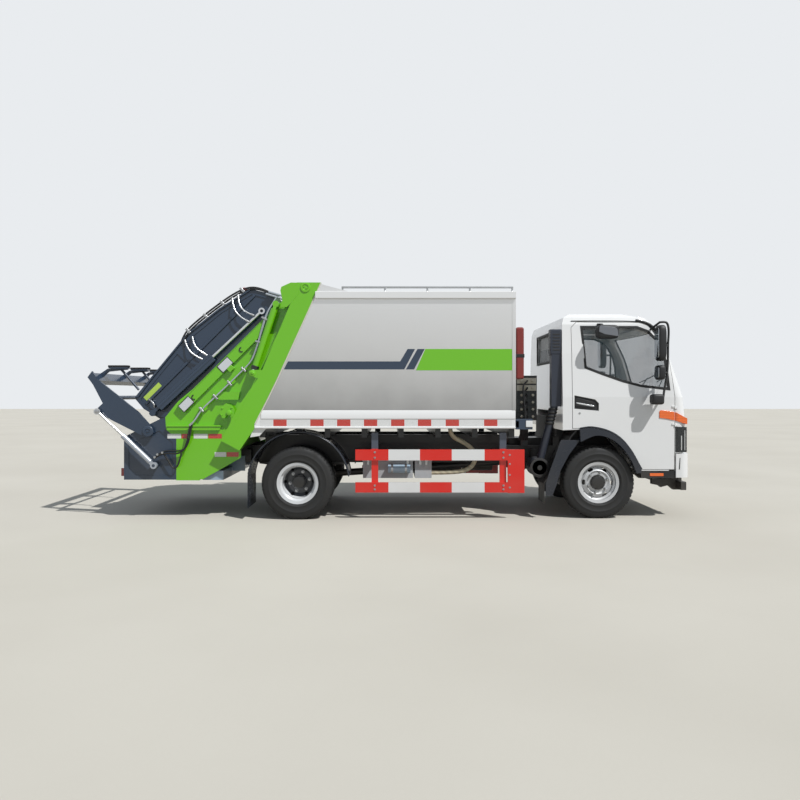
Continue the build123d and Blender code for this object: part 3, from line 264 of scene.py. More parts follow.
def reflective(name, code):
    """Retro-reflective sheeting: a prismatic honeycomb of 8 mm cells under a clear film."""
    made, tree, where, shader = blank(name)
    comb = put(tree, "TexVoronoi", {"Vector": where, "Scale": 1 / 0.008}, feature="DISTANCE_TO_EDGE")
    wall = put(tree, "MapRange", {"Value": comb.outputs["Distance"], "From Max": 0.12, "To Min": 0.35, "To Max": 0.0})
    tone = put(tree, "Mix", {"Factor": wall.outputs[0], 6: linear(code), 7: linear("9A8F88")}, data_type="RGBA")
    finish(tree, shader, tone.outputs[2], 0.22, Coat_Weight=0.8, Coat_Roughness=0.05)
    return made


def ribbed_hose(name, code, pitch):
    """Moulded suction hose, ringed all along; pitch is coarser than the real wire inside so that it shows."""
    made, tree, where, shader = blank(name)
    rings = put(tree, "TexWave", {"Vector": where, "Scale": 0.1 / pitch}, bands_direction="DIAGONAL")
    share = put(tree, "Math", {0: rings.outputs["Fac"], 1: 0.3}, operation="MULTIPLY")
    tone = put(tree, "Mix", {"Factor": share.outputs[0], 6: linear(code), 7: linear("3A3833")}, data_type="RGBA")
    finish(tree, shader, tone.outputs[2], 0.55, (rings.outputs["Fac"], 0.0012))
    return made


white_enamel = enamel("two_pack_enamel_white", "EAEAE8", 0.22, 0.8, fade=0.02, dust=0.2, dust_top=0.8)
# On the box's side the film is dark and thickens evenly downwards: painted reflection, the lower panel darkened where
# it would reflect the darker ground
silver_enamel = enamel("two_pack_enamel_silver", "DEDEDD", 0.33, 0.2, metallic=0.75, fade=0.03, dust=0.95,
                       dust_top=2.5, even=0.9, film_and_shade_code="45433F")
green_enamel = enamel("two_pack_enamel_green", "6FC10A", 0.3, 0.5, fade=0.02, dust=0.12)
slate_enamel = enamel("two_pack_enamel_slate", "26374B", 0.34, 0.35, fade=0.04, dust=0.16, dust_top=1.3)
black_enamel = enamel("chassis_enamel_black", "17181A", 0.45, 0.15, fade=0.05, dust=0.3, dust_top=0.9)
grey_enamel = enamel("box_enamel_grey", "B2B5B7", 0.45, 0.15, dust=0.25, dust_top=0.9)
tank_enamel = enamel("tank_enamel_pale_blue", "9DB4C6", 0.35, 0.4, dust=0.4, dust_top=0.8)
wheel_enamel = enamel("wheel_enamel_silver", "C9CBCD", 0.35, 0.3, metallic=0.4, dust=0.35, dust_top=0.7)
black_plastic = moulded("moulded_polypropylene_black", "1B1C1E", 0.5)
grey_plastic = moulded("moulded_polypropylene_grey", "63676C", 0.55)
seal_rubber = moulded("extruded_rubber_black", "131415", 0.6, grain=0.003)
hose_rubber = moulded("braided_hose_rubber_black", "17181A", 0.5, grain=0.002, depth=0.0002)
tyre_black = tyre_rubber("vulcanised_rubber_tyre")
chrome_steel = plated("hard_chromed_steel", "D8DADC", 0.2)
zinc_steel = plated("zinc_plated_steel", "A9ABAD", 0.32)
exhaust_steel = plated("aluminised_steel_exhaust", "85817A", 0.5)
iron_casting = cast("sand_cast_iron_black", "2A2B2D")
valve_casting = cast("painted_casting_grey", "4B4F50")
window_glass = safety_glass("laminated_glass_tinted", "33454C", 0.24)
lamp_glass = safety_glass("polycarbonate_lens_smoke", "16181B", 0.42)
mirror_glass = plated("silvered_mirror_glass", "D5DADF", 0.03, stretch=(1, 1, 1))
seat_cloth = cloth("woven_seat_cloth_grey", "33353A")
amber_lens = lens("acrylic_lens_amber", "FF6E00", dark=0.3)
red_lens = lens("acrylic_lens_red", "A80F0C")
clear_lens = lens("acrylic_lens_smoke", "1A1C1F", dark=0.25)
white_film = reflective("reflective_film_white", "E7E8E6")
red_film = reflective("reflective_film_red", "C81E08")
lime_film = reflective("vinyl_film_lime", "B9DD3C")
plate_sheet = enamel("printed_sheet_pale_grey", "D3D6D8", 0.35, 0.3, dust=0.1)
hub_enamel = enamel("hub_cap_enamel_black", "0C0D0F", 0.35, 0.4, dust=0.06)
guard_plastic = moulded("blow_moulded_guard_slate", "262B34", 0.24, dust=0.12)
intake_plastic = moulded("blow_moulded_duct_slate", "2E333E", 0.42, dust=0.12)
mirror_plastic = moulded("moulded_housing_grey", "74777C", 0.4, dust=0.1)
wheel_two_tone = dished_wheel("wheel_enamel_silver_and_primer", 0.165)
barrel_enamel = enamel("cylinder_enamel_pale_grey", "AEB4BC", 0.3, 0.4, metallic=0.3)
cream_enamel = enamel("two_pack_enamel_cream", "D8D4C2", 0.35, 0.4, dust=0.2)
# a red darkened with painted shade, for the case between the cab and the box
red_enamel_painted_shade = enamel("two_pack_enamel_dark_red", "7A1A12", 0.35, 0.4)
cream_hose = ribbed_hose("spiral_hose_cream", "CFC6A8", 0.012)
guard_paint = guard_stripes("guard_enamel_red_white", (1.009, 1.357, 1.709, 2.071), 0.785)

FINISH = {
    "chassis_black": black_enamel, "white_paint": white_enamel, "silver_paint": silver_enamel,
    "green_paint": green_enamel, "slate_paint": slate_enamel, "guard_red_white": guard_paint,
    "tyre": tyre_black, "wheel_silver": wheel_enamel, "chrome_steel": chrome_steel, "bare_steel": zinc_steel,
    "glass": window_glass, "black_plastic": black_plastic, "grey_plastic": grey_plastic, "tank_paint": tank_enamel,
    "valve_grey": valve_casting, "cast_iron": iron_casting, "lamp_clear": clear_lens, "lamp_red": red_lens,
    "seat_fabric": seat_cloth,
}
slot_of_node = {row["node"]: row["material_slot"] for row in frame["record"]["subparts"]}
# Nodes whose looks differ from what their slot says
OWN_FINISH = {
    "exhaust": exhaust_steel, "battery_boxes": grey_enamel, "lifter_barrels": barrel_enamel,
    "rear_mudguards": guard_plastic, "air_intake": intake_plastic, "wheel_rear_right": wheel_two_tone,
    "wheel_rear_left": wheel_two_tone,
}

for name, part in nodes.items():
    part.data.materials.clear()
    part.data.materials.append(OWN_FINISH.get(name) or FINISH[slot_of_node[name]])
    for face in part.data.polygons:
        face.material_index = 0


# Drain hose of the box: from its floor down behind the side guard and back to the battery box

HOSE_Y = -0.77
HOSE_THICK = 0.05
# X from the rear axle, and Z
HOSE_ROUTE = ((1.712, 1.0097), (1.712, 0.915), (1.870, 0.845), (1.987, 0.749), (2.002, 0.628), (1.926, 0.536),
              (1.774, 0.500), (1.4983, 0.500))


def suction_hose():
    curve = bpy.data.curves.new("suction_hose_line", "CURVE")
    curve.dimensions = "3D"
    curve.bevel_depth, curve.bevel_resolution, curve.resolution_u = HOSE_THICK / 2, 6, 16
    line = curve.splines.new("NURBS")
    line.points.add(len(HOSE_ROUTE) - 1)
    for point, (x, z) in zip(line.points, HOSE_ROUTE):
        point.co = (x + AXLE_X, HOSE_Y, z, 1)
    line.order_u = 3
    line.use_endpoint_u = True
    curve.materials.append(cream_hose)
    hose = bpy.data.objects.new("drain_hose", curve)
    bpy.context.scene.collection.objects.link(hose)
    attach(hose, "root")
    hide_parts("suction_hose")


suction_hose()


# Camera, daylight and floor

CAMERA_AT = (-0.024, -9.2, 1.394)
TO_SUN = Vector((1.15, -1.05, 1.95))
FAR = 60


def seen_background(tree):
    """One where a ray is a look at the background: from the camera, off metal or through glass."""
    path = put(tree, "LightPath")
    first = put(tree, "Math", {0: path.outputs["Is Camera Ray"], 1: path.outputs["Is Glossy Ray"]},
                operation="MAXIMUM")
    return put(tree, "Math", {0: first.outputs[0], 1: path.outputs["Is Transmission Ray"]},
               operation="MAXIMUM").outputs[0]


def studio():
    camera = bpy.data.objects.new("camera", bpy.data.cameras.new("camera"))
    camera.data.lens, camera.data.sensor_width = 33.3, 36
    camera.data.shift_x, camera.data.shift_y = 0.0125, -0.0075
    camera.location = CAMERA_AT
    camera.rotation_euler = (math.radians(90), 0, 0)
    bpy.context.scene.collection.objects.link(camera)
    bpy.context.scene.camera = camera

    sun = bpy.data.objects.new("key_lamp", bpy.data.lights.new("key_lamp", "SUN"))
    sun.data.energy, sun.data.angle = 3.5, math.radians(0.8)
    sun.rotation_euler = TO_SUN.to_track_quat("Z", "Y").to_euler()
    bpy.context.scene.collection.objects.link(sun)

    world = bpy.data.worlds.new("soft_daylight")
    world.use_nodes = True
    tree = world.node_tree
    tree.nodes.clear()
    seen = seen_background(tree)
    tone = put(tree, "Mix", {"Factor": seen, 6: linear("CFDCEC"), 7: linear("E9ECEF")}, data_type="RGBA")
    power = put(tree, "MapRange", {"Value": seen, "To Min": 0.43, "To Max": 1.0})
    back = put(tree, "Background", {"Color": tone.outputs[2], "Strength": power.outputs[0]})
    put(tree, "OutputWorld", {"Surface": back.outputs["Background"]})
    bpy.context.scene.world = world
    bpy.context.scene.view_settings.view_transform = "Standard"

    made, tree, where, shader = blank("power_floated_concrete")
    spots = put(tree, "TexNoise", {"Vector": where, "Scale": 1 / 2.5, "Detail": 8.0})
    stains = put(tree, "MapRange", {"Value": spots.outputs["Fac"], "From Min": 0.35, "From Max": 0.7, "To Max": 0.35})
    shown = put(tree, "Mix", {"Factor": stains.outputs[0], 6: linear("C9C4B8"), 7: linear("B4AEA1")}, data_type="RGBA")
    # the floor throws back a darker tone than the camera sees: painted shade that deepens the shade on the truck's
    # underside
    tone = put(tree, "Mix", {"Factor": seen_background(tree), 6: linear("98938A"), 7: shown.outputs[2]},
               data_type="RGBA")
    sand = put(tree, "TexNoise", {"Vector": where, "Scale": 1 / 0.02, "Detail": 6.0})
    finish(tree, shader, tone.outputs[2], 0.85, (sand.outputs["Fac"], 0.0005))
    mesh = bpy.data.meshes.new("floor")
    mesh.from_pydata([(-FAR, -FAR, 0), (FAR, -FAR, 0), (FAR, FAR, 0), (-FAR, FAR, 0)], [], [(0, 1, 2, 3)])
    mesh.materials.append(made)
    floor = bpy.data.objects.new("floor", mesh)
    bpy.context.scene.collection.objects.link(floor)


studio()


# Building pieces: each maker gives points and faces, with X from the rear axle

def prism(outline, y0, y1):
    """A plate cut to an outline in X and Z, solid between two Y."""
    n = len(outline)
    points = [(x, y, z) for y in (y0, y1) for x, z in outline]
    sides = [(k, (k + 1) % n, (k + 1) % n + n, k + n) for k in range(n)]
    return points, [tuple(range(n)), tuple(range(2 * n - 1, n - 1, -1))] + sides


def block(x0, x1, y0, y1, z0, z1):
    return prism([(x0, z0), (x1, z0), (x1, z1), (x0, z1)], y0, y1)


def cross(outline, x0, x1):
    """A profile in Y and Z, solid between two X."""
    points, faces = prism(outline, x0, x1)
    return [(x, y, z) for y, x, z in points], faces


def closed_rows(count, n):
    """Faces of a grid of rows of n points, whose last row joins the first one."""
    faces = []
    for k in range(count):
        after = (k + 1) % count * n
        faces += [(k * n + i, k * n + i + 1, after + i + 1, after + i) for i in range(n - 1)]
    return faces


def turned(profile, x, z, steps=40):
    """A profile of (radius, Y) turned about a line along Y through x and z."""
    points = []
    for k in range(steps):
        t = 2 * math.pi * k / steps
        points += [(x + r * math.cos(t), y, z + r * math.sin(t)) for r, y in profile]
    return points, closed_rows(steps, len(profile))


def upright(profile, x, y, steps=32):
    """A profile of (radius, Z) turned about an upright line."""
    points, faces = turned(profile, 0, 0, steps)
    return [(a + x, b + y, h) for a, h, b in points], faces


def facing(profile, y, z, steps=32):
    """A profile of (radius, X) turned about a line that runs fore and aft."""
    points, faces = turned(profile, 0, 0, steps)
    return [(h, a + y, b + z) for a, h, b in points], faces


def hexagon(x, z, y, out, size=0.012, high=0.008):
    """A bolt head with its washer on a face at y; out is the side that it faces."""
    washer = turned([(0, y), (size * 1.15, y), (size * 1.15, y + out * 0.002), (size * 0.9, y + out * 0.0025)], x, z,
                    16)
    head = turned([(size * 0.9, y + out * 0.002), (size * 0.9, y + out * high * 0.8), (size * 0.75, y + out * high),
                   (0, y + out * high)], x, z, 6)
    return [washer, head]


def flipped(parts):
    """The same pieces on the other side of the vehicle."""
    return [([(x, -y, z) for x, y, z in points], [tuple(reversed(face)) for face in faces]) for points, faces in parts]


def moved(parts, dx=0.0, dy=0.0, dz=0.0):
    return [([(x + dx, y + dy, z + dz) for x, y, z in points], faces) for points, faces in parts]


def swung(parts, about, degrees):
    """Pieces turned in the X and Z plane, anticlockwise from the right, about a point."""
    t = math.radians(degrees)
    c, s = math.cos(t), math.sin(t)
    ax, az = about
    return [([(ax + (x - ax) * c - (z - az) * s, y, az + (x - ax) * s + (z - az) * c) for x, y, z in points], faces)
            for points, faces in parts]


def build(name, parts, material, body="root", rounded=0.0, angle=32, subdivide=0):
    """One piece from its parts: finish, rounded edges, and the body that it rides on."""
    shape = bmesh.new()
    for points, faces in parts:
        corners = [shape.verts.new((x + AXLE_X, y, z)) for x, y, z in points]
        for face in faces:
            if len(set(face)) > 2:
                shape.faces.new([corners[k] for k in face])
    bmesh.ops.remove_doubles(shape, verts=shape.verts, dist=1e-6)
    bmesh.ops.recalc_face_normals(shape, faces=shape.faces)
    mesh = bpy.data.meshes.new(name)
    shape.to_mesh(mesh)
    shape.free()
    mesh.shade_smooth()
    mesh.set_sharp_from_angle(angle=math.radians(angle))
    return fitted(name, mesh, material, body, rounded, subdivide)


def fitted(name, data, material, body, rounded=0.0, subdivide=0):
    data.materials.append(material)
    made = bpy.data.objects.new(name, data)
    bpy.context.scene.collection.objects.link(made)
    if rounded:
        edge = made.modifiers.new("rounded_edges", "BEVEL")
        edge.width, edge.segments, edge.limit_method, edge.angle_limit = rounded, 2, "ANGLE", math.radians(40)
        edge.harden_normals = True
    if subdivide:
        soft = made.modifiers.new("soft_form", "SUBSURF")
        soft.levels = soft.render_levels = subdivide
    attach(made, body)
    return made


def pipes(name, routes, radius, material, body="root"):
    """Round pipes or bars, each bent smoothly near the points of its route."""
    curve = bpy.data.curves.new(name, "CURVE")
    curve.dimensions = "3D"
    curve.bevel_depth, curve.bevel_resolution, curve.use_fill_caps = radius, 4, True
    curve.resolution_u = 8
    for route in routes:
        line = curve.splines.new("NURBS")
        line.points.add(len(route) - 1)
        for point, (x, y, z) in zip(line.points, route):
            point.co = (x + AXLE_X, y, z, 1)
        line.order_u = 3
        line.use_endpoint_u = True
    return fitted(name, curve, material, body)


def across(routes):
    """Routes with their mirror images on the left."""
    return routes + [[(x, -y, z) for x, y, z in route] for route in routes]


def two_sided(parts):
    return parts + flipped(parts)


def on_doors(name, parts, material, **more):
    """A piece of the right door, and its mirror image on the left one."""
    return [build(name + "_" + SIDE_NAME[side], parts if side < 0 else flipped(parts), material,
                  "door_" + SIDE_NAME[side], **more)
            for side in SIDES]


# Tyres: a grid over the tyre's section, whose rows dip into the tread's grooves

TYRE_SECTION = ((0.2315, 0.081), (0.2400, 0.0965), (0.2530, 0.1010), (0.2560, 0.1035), (0.2600, 0.1035),
                (0.2630, 0.1020), (0.2900, 0.1060), (0.3150, 0.1075), (0.3180, 0.1090), (0.3230, 0.1090),
                (0.3260, 0.1075), (0.3520, 0.1055), (0.3720, 0.1010), (0.3860, 0.0940))
# Columns: distance from the middle, whether a groove's floor, whether the shoulder's notches cut it
TREAD = ((0.0840, 0, 1), (0.0720, 0, 1), (0.0560, 0, 0), (0.0455, 0, 0), (0.0430, 1, 0), (0.0340, 1, 0),
         (0.0315, 0, 0), (0.0075, 0, 0), (0.0050, 1, 0))
TREAD_R = 0.4022
GROOVE = 0.012
NOTCH = 0.009
PITCHES = 54
# Lines of each pitch: where it lies, whether the notch is open there, and how far the zigzag shifts the grooves
PITCH_LINES = ((0.00, 0, 0.0), (0.04, 1, 0.0015), (0.26, 1, 0.003), (0.30, 0, 0.003), (0.50, 0, 0.0),
               (0.78, 0, -0.003))


def tyre_form(x, y_mid):
    columns = [(r, y, 0, 0) for r, y in TYRE_SECTION]
    columns += [(TREAD_R - 0.9 * max(0.0, y - 0.05) ** 2 * 4, y, deep, cut) for y, deep, cut in TREAD]
    columns += [(r, -y, deep, cut) for r, y, deep, cut in reversed(columns)]
    points = []
    for p in range(PITCHES):
        for share, notch, shift in PITCH_LINES:
            t = 2 * math.pi * (p + share) / PITCHES
            for r, y, deep, cut in columns:
                rr = r - GROOVE * deep - (NOTCH if cut and notch else 0.0)
                yy = y + (shift if abs(y) < 0.06 else 0.0)
                points.append((x + rr * math.cos(t), y_mid + yy, AXLE_Z + rr * math.sin(t)))
    return points, closed_rows(PITCHES * len(PITCH_LINES), len(columns))


for side in SIDES:
    name = SIDE_NAME[side]
    front_tyre = build("tread_front_" + name, [tyre_form(FRONT_X, side * FRONT_Y)], tyre_black, "wheel_front_" + name,
                       angle=50)
    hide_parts("tyre_front_" + name)
    rear_tyres = build("tread_rear_" + name, [tyre_form(0, side * y) for y in REAR_YS], tyre_black,
                       "wheels_rear_" + name, angle=50)
    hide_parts("tyres_rear_" + name)


# Wheel nuts, hub caps and valve stems

def on_circle(x, r, count, start=0.0):
    return [(x + r * math.cos(start + 2 * math.pi * k / count), AXLE_Z + r * math.sin(start + 2 * math.pi * k / count))
            for k in range(count)]


STUD_R = 0.11113
STUDS = 6
# Each wheel: its body, axle, face under the nuts, height of a nut and of its stud, and turn of the first one; then the
# hub cap's profile of radius and Y, and its ring of bolts as radius, face and height
WHEELS = (
    ("front", "wheel_front_", FRONT_X, 0.875, 0.022, 0.032, 0.3,
     ((0.0835, 0.872), (0.0845, 0.880), (0.0835, 0.892), (0.0700, 0.9095), (0.0560, 0.9130), (0.0300, 0.9135),
      (0, 0.9135)),
     (0.066, 0.9108, 0.004)),
    ("rear", "wheels_rear_", 0, 0.789, 0.024, 0.036, 0.2,
     ((0.0835, 0.800), (0.0835, 0.864), (0.0800, 0.871), (0.0620, 0.8855), (0.0480, 0.8885), (0, 0.8885)),
     (0.070, 0.8785, 0.006)),
)
for side in SIDES:
    name = SIDE_NAME[side]
    for end, body, x0, face, high, stud, start, profile, (ring_r, ring_y, bolt_high) in WHEELS:
        nuts = []
        for x, z in on_circle(x0, STUD_R, STUDS, start):
            nuts += hexagon(x, z, side * face, side, 0.0165, high)
            nuts.append(turned([(0.009, side * (face + 0.02)), (0.009, side * (face + stud)),
                                (0, side * (face + stud + 0.001))], x, z, 12))
        build(f"wheel_nuts_{end}_{name}", nuts, zinc_steel, body + name)
        cap = [turned([(r, side * y) for r, y in profile], x0, AXLE_Z, 48)]
        for x, z in on_circle(x0, ring_r, 8):
            cap += hexagon(x, z, side * ring_y, side, 0.006, bolt_high)
        build(f"hub_cap_{end}_{name}", cap, hub_enamel, body + name)
    stem = [(FRONT_X + dx, side * y, AXLE_Z + dz)
            for dx, y, dz in ((0.150, 0.868, 0.020), (0.158, 0.894, 0.021), (0.168, 0.906, 0.022))]
    pipes("valve_stem_front_" + name, [stem], 0.004, zinc_steel, "wheel_front_" + name)


# Refuse box: stripes, warning tape, folded edges, flanges, ribs and the roof's hatch

SIDE_Y = -1.05
ROOF_Z = 2.521


def film(outline):
    """Adhesive film on the box's side, with its mirror image."""
    return two_sided([prism(outline, SIDE_Y - 0.0008, SIDE_Y + 0.0002)])


slate = film([(-0.143, 1.665), (1.183, 1.665), (1.302, 1.890), (1.220, 1.890), (1.138, 1.753), (-0.098, 1.753)])
slate += film([(1.201, 1.665), (1.291, 1.665), (1.408, 1.890), (1.329, 1.890)])
build("stripe_slate", slate, slate_enamel)
build("stripe_green", film([(1.311, 1.654), (2.406, 1.654), (2.406, 1.890), (1.415, 1.890)]), green_enamel)

TAPE_LOW, TAPE_HIGH = 1.041, 1.112


def film_strip(x0, x1):
    return film([(x0, TAPE_LOW), (x1, TAPE_LOW), (x1, TAPE_HIGH), (x0, TAPE_HIGH)])


RED_START = (-0.259, 0.148, 0.443, 0.739, 1.038, 1.333, 1.639, 2.062)
RED_LONG = 0.147
red, white = [], []
last = -0.412
for start in (*RED_START, 2.375):
    white += film_strip(last + 0.006, start - 0.006)
    if start in RED_START:
        red += film_strip(start, start + RED_LONG)
    last = start + RED_LONG
build("tape_red", red, red_film)
build("tape_white", white, white_film)

# A folded rail along the roof's edge, proud of the side, and the drip edge under the sill
band = [(-1.050, ROOF_Z - 0.078), (-1.078, ROOF_Z - 0.078), (-1.083, ROOF_Z - 0.073), (-1.083, ROOF_Z - 0.004),
        (-1.079, ROOF_Z), (-1.000, ROOF_Z + 0.001), (-1.000, ROOF_Z - 0.001), (-1.050, ROOF_Z - 0.002)]
build("roof_edge_rail", two_sided([cross(band, 0.205, 2.410)]), white_enamel, rounded=0.002)
sill = [(-1.050, 1.016), (-1.062, 1.016), (-1.064, 1.019), (-1.064, 1.029), (-1.050, 1.034)]
build("sill_drip_edge", two_sided([cross(sill, -0.460, 2.408)]), white_enamel)
ledge = [(-1.050, 1.121), (-1.056, 1.121), (-1.056, 1.204), (-1.050, 1.214)]
build("sill_fold", two_sided([cross(ledge, -0.395, 2.408)]), white_enamel, rounded=0.002)

JOINT = ((0.256, 2.620), (-0.231, 1.538), (-0.334, 1.328), (-0.467, 1.066))


def beside(line, shift):
    return [(x + shift, z) for x, z in line]


flange = beside(JOINT, 0.004) + beside(JOINT, 0.017)[::-1]
build("joint_flange", two_sided([prism(flange, -1.057, -1.049)]), cream_enamel, rounded=0.0015)
angle = [block(2.372, 2.412, -1.054, -1.049, 1.216, 2.443), block(2.4075, 2.412, -1.052, -1.010, 1.216, 2.443)]
build("front_corner_angle", two_sided(angle), silver_enamel, rounded=0.001)
hat = ((0, -0.035), (0.032, -0.022), (0.032, 0.022), (0, 0.035))
ribs = [([(2.407 + a, y + b, z) for z in (1.24, 2.48) for a, b in hat],
         [(0, 1, 2, 3), (7, 6, 5, 4), (0, 4, 5, 1), (1, 5, 6, 2), (2, 6, 7, 3)])
         for y in (-0.80, -0.40, 0.0, 0.40, 0.80)]
build("front_wall_ribs", ribs, silver_enamel, rounded=0.002)
rib = [(-0.98, ROOF_Z - 0.0005), (-0.96, ROOF_Z + 0.012), (0.96, ROOF_Z + 0.012), (0.98, ROOF_Z - 0.0005)]
ribs = [cross(rib, x, x + 0.04) for x in (0.60, 1.05, 1.50, 1.95)]
build("roof_ribs", ribs, silver_enamel, rounded=0.002)
hatch = [block(1.14, 1.42, -0.30, 0.30, ROOF_Z, ROOF_Z + 0.022), block(1.20, 1.36, 0.30, 0.33, ROOF_Z, ROOF_Z + 0.016)]
build("roof_hatch", hatch, silver_enamel, rounded=0.006)
foot = [(0, ROOF_Z), (0.026, ROOF_Z), (0.026, ROOF_Z + 0.005), (0.014, ROOF_Z + 0.009), (0.012, ROOF_Z + 0.014)]
feet = [upright(foot, x, y, 20) for x in (0.50, 0.97, 1.44, 1.91, 2.38) for y in (-1.0, 1.0)]
build("handrail_feet", feet, zinc_steel)
member = [block(2.412, 2.598, -1.048, -0.990, 1.003, 1.118), block(2.412, 2.450, -1.048, 0.0, 1.02, 1.10)]
build("front_cross_member", two_sided(member), slate_enamel, rounded=0.004)
build("white_end_block", two_sided([block(2.522, 2.596, -1.058, -1.046, 1.030, 1.100)]), white_enamel, rounded=0.004)


# Rear posts and what lies on them: hinge bosses, cylinder feet, pipes, clamps, head plates and locks

def disc(x, z, y, out, profile, steps=40):
    """A turned boss on a side face at y, from pairs of radius and height."""
    return turned([(r, y + out * h) for r, h in profile], x, z, steps)


def button(r, shoulder, top_r, high):
    """A cap's profile: a straight wall up to its shoulder, then a chamfer."""
    return [(0, 0), (r, 0), (r, shoulder), (top_r, high), (0, high)]


HINGE_X, HINGE_Z = 0.094, 2.568
rim = [(0, 0), (0.055, 0), (0.055, 0.006), (0.052, 0.010), (0.034, 0.011), (0.030, 0.004), (0, 0.004)]
boss = [disc(HINGE_X, HINGE_Z, SIDE_Y, -1, rim)]
for dx, dz in ((-0.016, 0.008), (0.014, -0.010)):
    boss += hexagon(HINGE_X + dx, HINGE_Z + dz, -1.054, -1, 0.009, 0.008)
build("tailgate_hinge_boss", two_sided(boss), green_enamel)
boss = [disc(-0.490, 1.622, SIDE_Y, -1, button(0.034, 0.006, 0.028, 0.009))]
boss += hexagon(-0.490, 1.622, -1.059, -1, 0.012, 0.008)
build("lift_foot_cap", two_sided(boss), green_enamel)

# Steel oil pipes down the tailgate, in a pair, then black ones to the bin lifter's cylinder
PIPE_Y = -0.962
down = [(-0.238, 2.470), (-0.256, 2.440), (-0.345, 2.300), (-0.400, 2.110), (-0.439, 1.962), (-0.505, 1.771),
        (-0.604, 1.666), (-0.917, 1.362), (-1.074, 1.222), (-1.152, 1.092), (-1.187, 1.057)]
pair = [[(x + d * 0.7, PIPE_Y, z + d * 0.8) for x, z in down] for d in (-0.012, 0.014)]
pipes("tailgate_oil_pipes", across(pair), 0.0075, barrel_enamel, "packer")
low = [(-1.187, 1.057), (-1.213, 0.953), (-1.222, 0.870), (-1.262, 0.775), (-1.330, 0.742), (-1.440, 0.750),
       (-1.530, 0.735), (-1.587, 0.690)]
pair = [[(x + d * 0.8, PIPE_Y + 0.006 + d * 0.3, z + d) for x, z in low] for d in (-0.014, 0.014)]
pair.append([(-1.300, -0.955, 0.735), (-1.325, -0.955, 0.600), (-1.390, -0.950, 0.553), (-1.445, -0.950, 0.650),
             (-1.500, -0.950, 0.735)])
pipes("lifter_oil_pipes", across(pair), 0.0095, hose_rubber, "packer")
fittings = [disc(x, z, PIPE_Y - 0.008, -1, [(0, 0), (0.015, 0), (0.015, 0.014), (0, 0.014)], 6)
            for x, z in ((-1.196, 1.050), (-1.177, 1.066), (-1.560, 0.722), (-1.590, 0.690), (-1.505, 0.742))]
clamps = []
for x, z, lean in ((-0.372, 2.235, 64), (-0.437, 1.975, 77), (-0.604, 1.668, 44), (-0.760, 1.514, 44),
                   (-0.917, 1.362, 44), (-1.074, 1.222, 44)):
    clamps += swung([block(x - 0.010, x + 0.010, -0.974, -0.902, z - 0.036, z + 0.036)], (x, z), lean)
build("pipe_clamps", two_sided(clamps + fittings), zinc_steel, "packer", rounded=0.003)

# Screwed glands at the open end of the lift barrels
LIFT_LEAN = -18.2
gland = upright([(0.0385, 1.664), (0.043, 1.668), (0.043, 1.704), (0.0385, 1.708)], -0.4665, -1.003, 28)
gland = swung([gland], (-0.4665, 1.690), LIFT_LEAN)
build("lift_glands", two_sided(gland), black_enamel, "lift_barrels")

# Head of each rear post: the folded plate that the top hoses pass behind, its slit and the fold down the post
head = [(-0.182, 2.535), (-0.170, 2.575), (-0.066, 2.622), (0.020, 2.620), (0.020, 2.500), (-0.060, 2.400),
        (-0.110, 2.351), (-0.182, 2.351), (-0.160, 2.430)]
fold = [(-0.130, 2.214), (-0.716, 1.009), (-0.722, 1.012), (-0.136, 2.217)]
build("post_head_plates", two_sided([prism(head, -1.053, -1.044), prism(fold, -1.0515, -1.049)]), green_enamel,
      rounded=0.002)
slit = prism([(-0.001, 2.506), (-0.113, 2.317), (-0.117, 2.320), (-0.005, 2.509)], -1.0512, -1.049)
build("post_slits", two_sided([slit]), black_enamel)
gusset = prism([(-0.470, 1.050), (-0.337, 1.013), (-0.414, 0.931), (-0.520, 0.915)], -1.035, -1.029)
build("sill_gussets", two_sided([gusset]), white_enamel, rounded=0.002)
tops = [[(-0.345, -0.842, 2.548), (-0.250, -0.852, 2.520), (-0.150, -0.860, 2.490)],
        [(-0.375, -0.842, 2.525), (-0.280, -0.852, 2.497), (-0.180, -0.860, 2.462)]]
pipes("top_hose_ends", across(tops), 0.013, barrel_enamel, "carriage")

# Lock that pulls the tailgate on to the posts: a cast claw over a boss
claw = [(-0.850, 1.250), (-0.800, 1.290), (-0.735, 1.272), (-0.700, 1.215), (-0.708, 1.150), (-0.745, 1.128),
        (-0.752, 1.165), (-0.790, 1.160), (-0.815, 1.120), (-0.850, 1.135), (-0.870, 1.190)]
lock = [prism(claw, -0.975, -0.952), disc(-0.762, 1.184, -0.975, -1, button(0.030, 0.012, 0.022, 0.016))]
for x, z in ((-0.838, 1.235), (-0.846, 1.160), (-0.735, 1.240)):
    lock += hexagon(x, z, -0.975, -1, 0.010, 0.010)
build("tailgate_locks", two_sided(lock), green_enamel, "packer", rounded=0.004)


# Slide guide on the tailgate: crescent slots, straps and blank plates

def along(u, n):
    """A point by its run up the 45 degree slide and its height above it."""
    return (u - n) / math.sqrt(2), (u + n) / math.sqrt(2)


def on_slope(outline, y0, y1):
    return prism([along(u, n) for u, n in outline], y0, y1)


def plate_on_slope(u0, u1, n0, n1, y0, y1):
    return on_slope([(u0, n0), (u1, n0), (u1, n1), (u0, n1)], y0, y1)


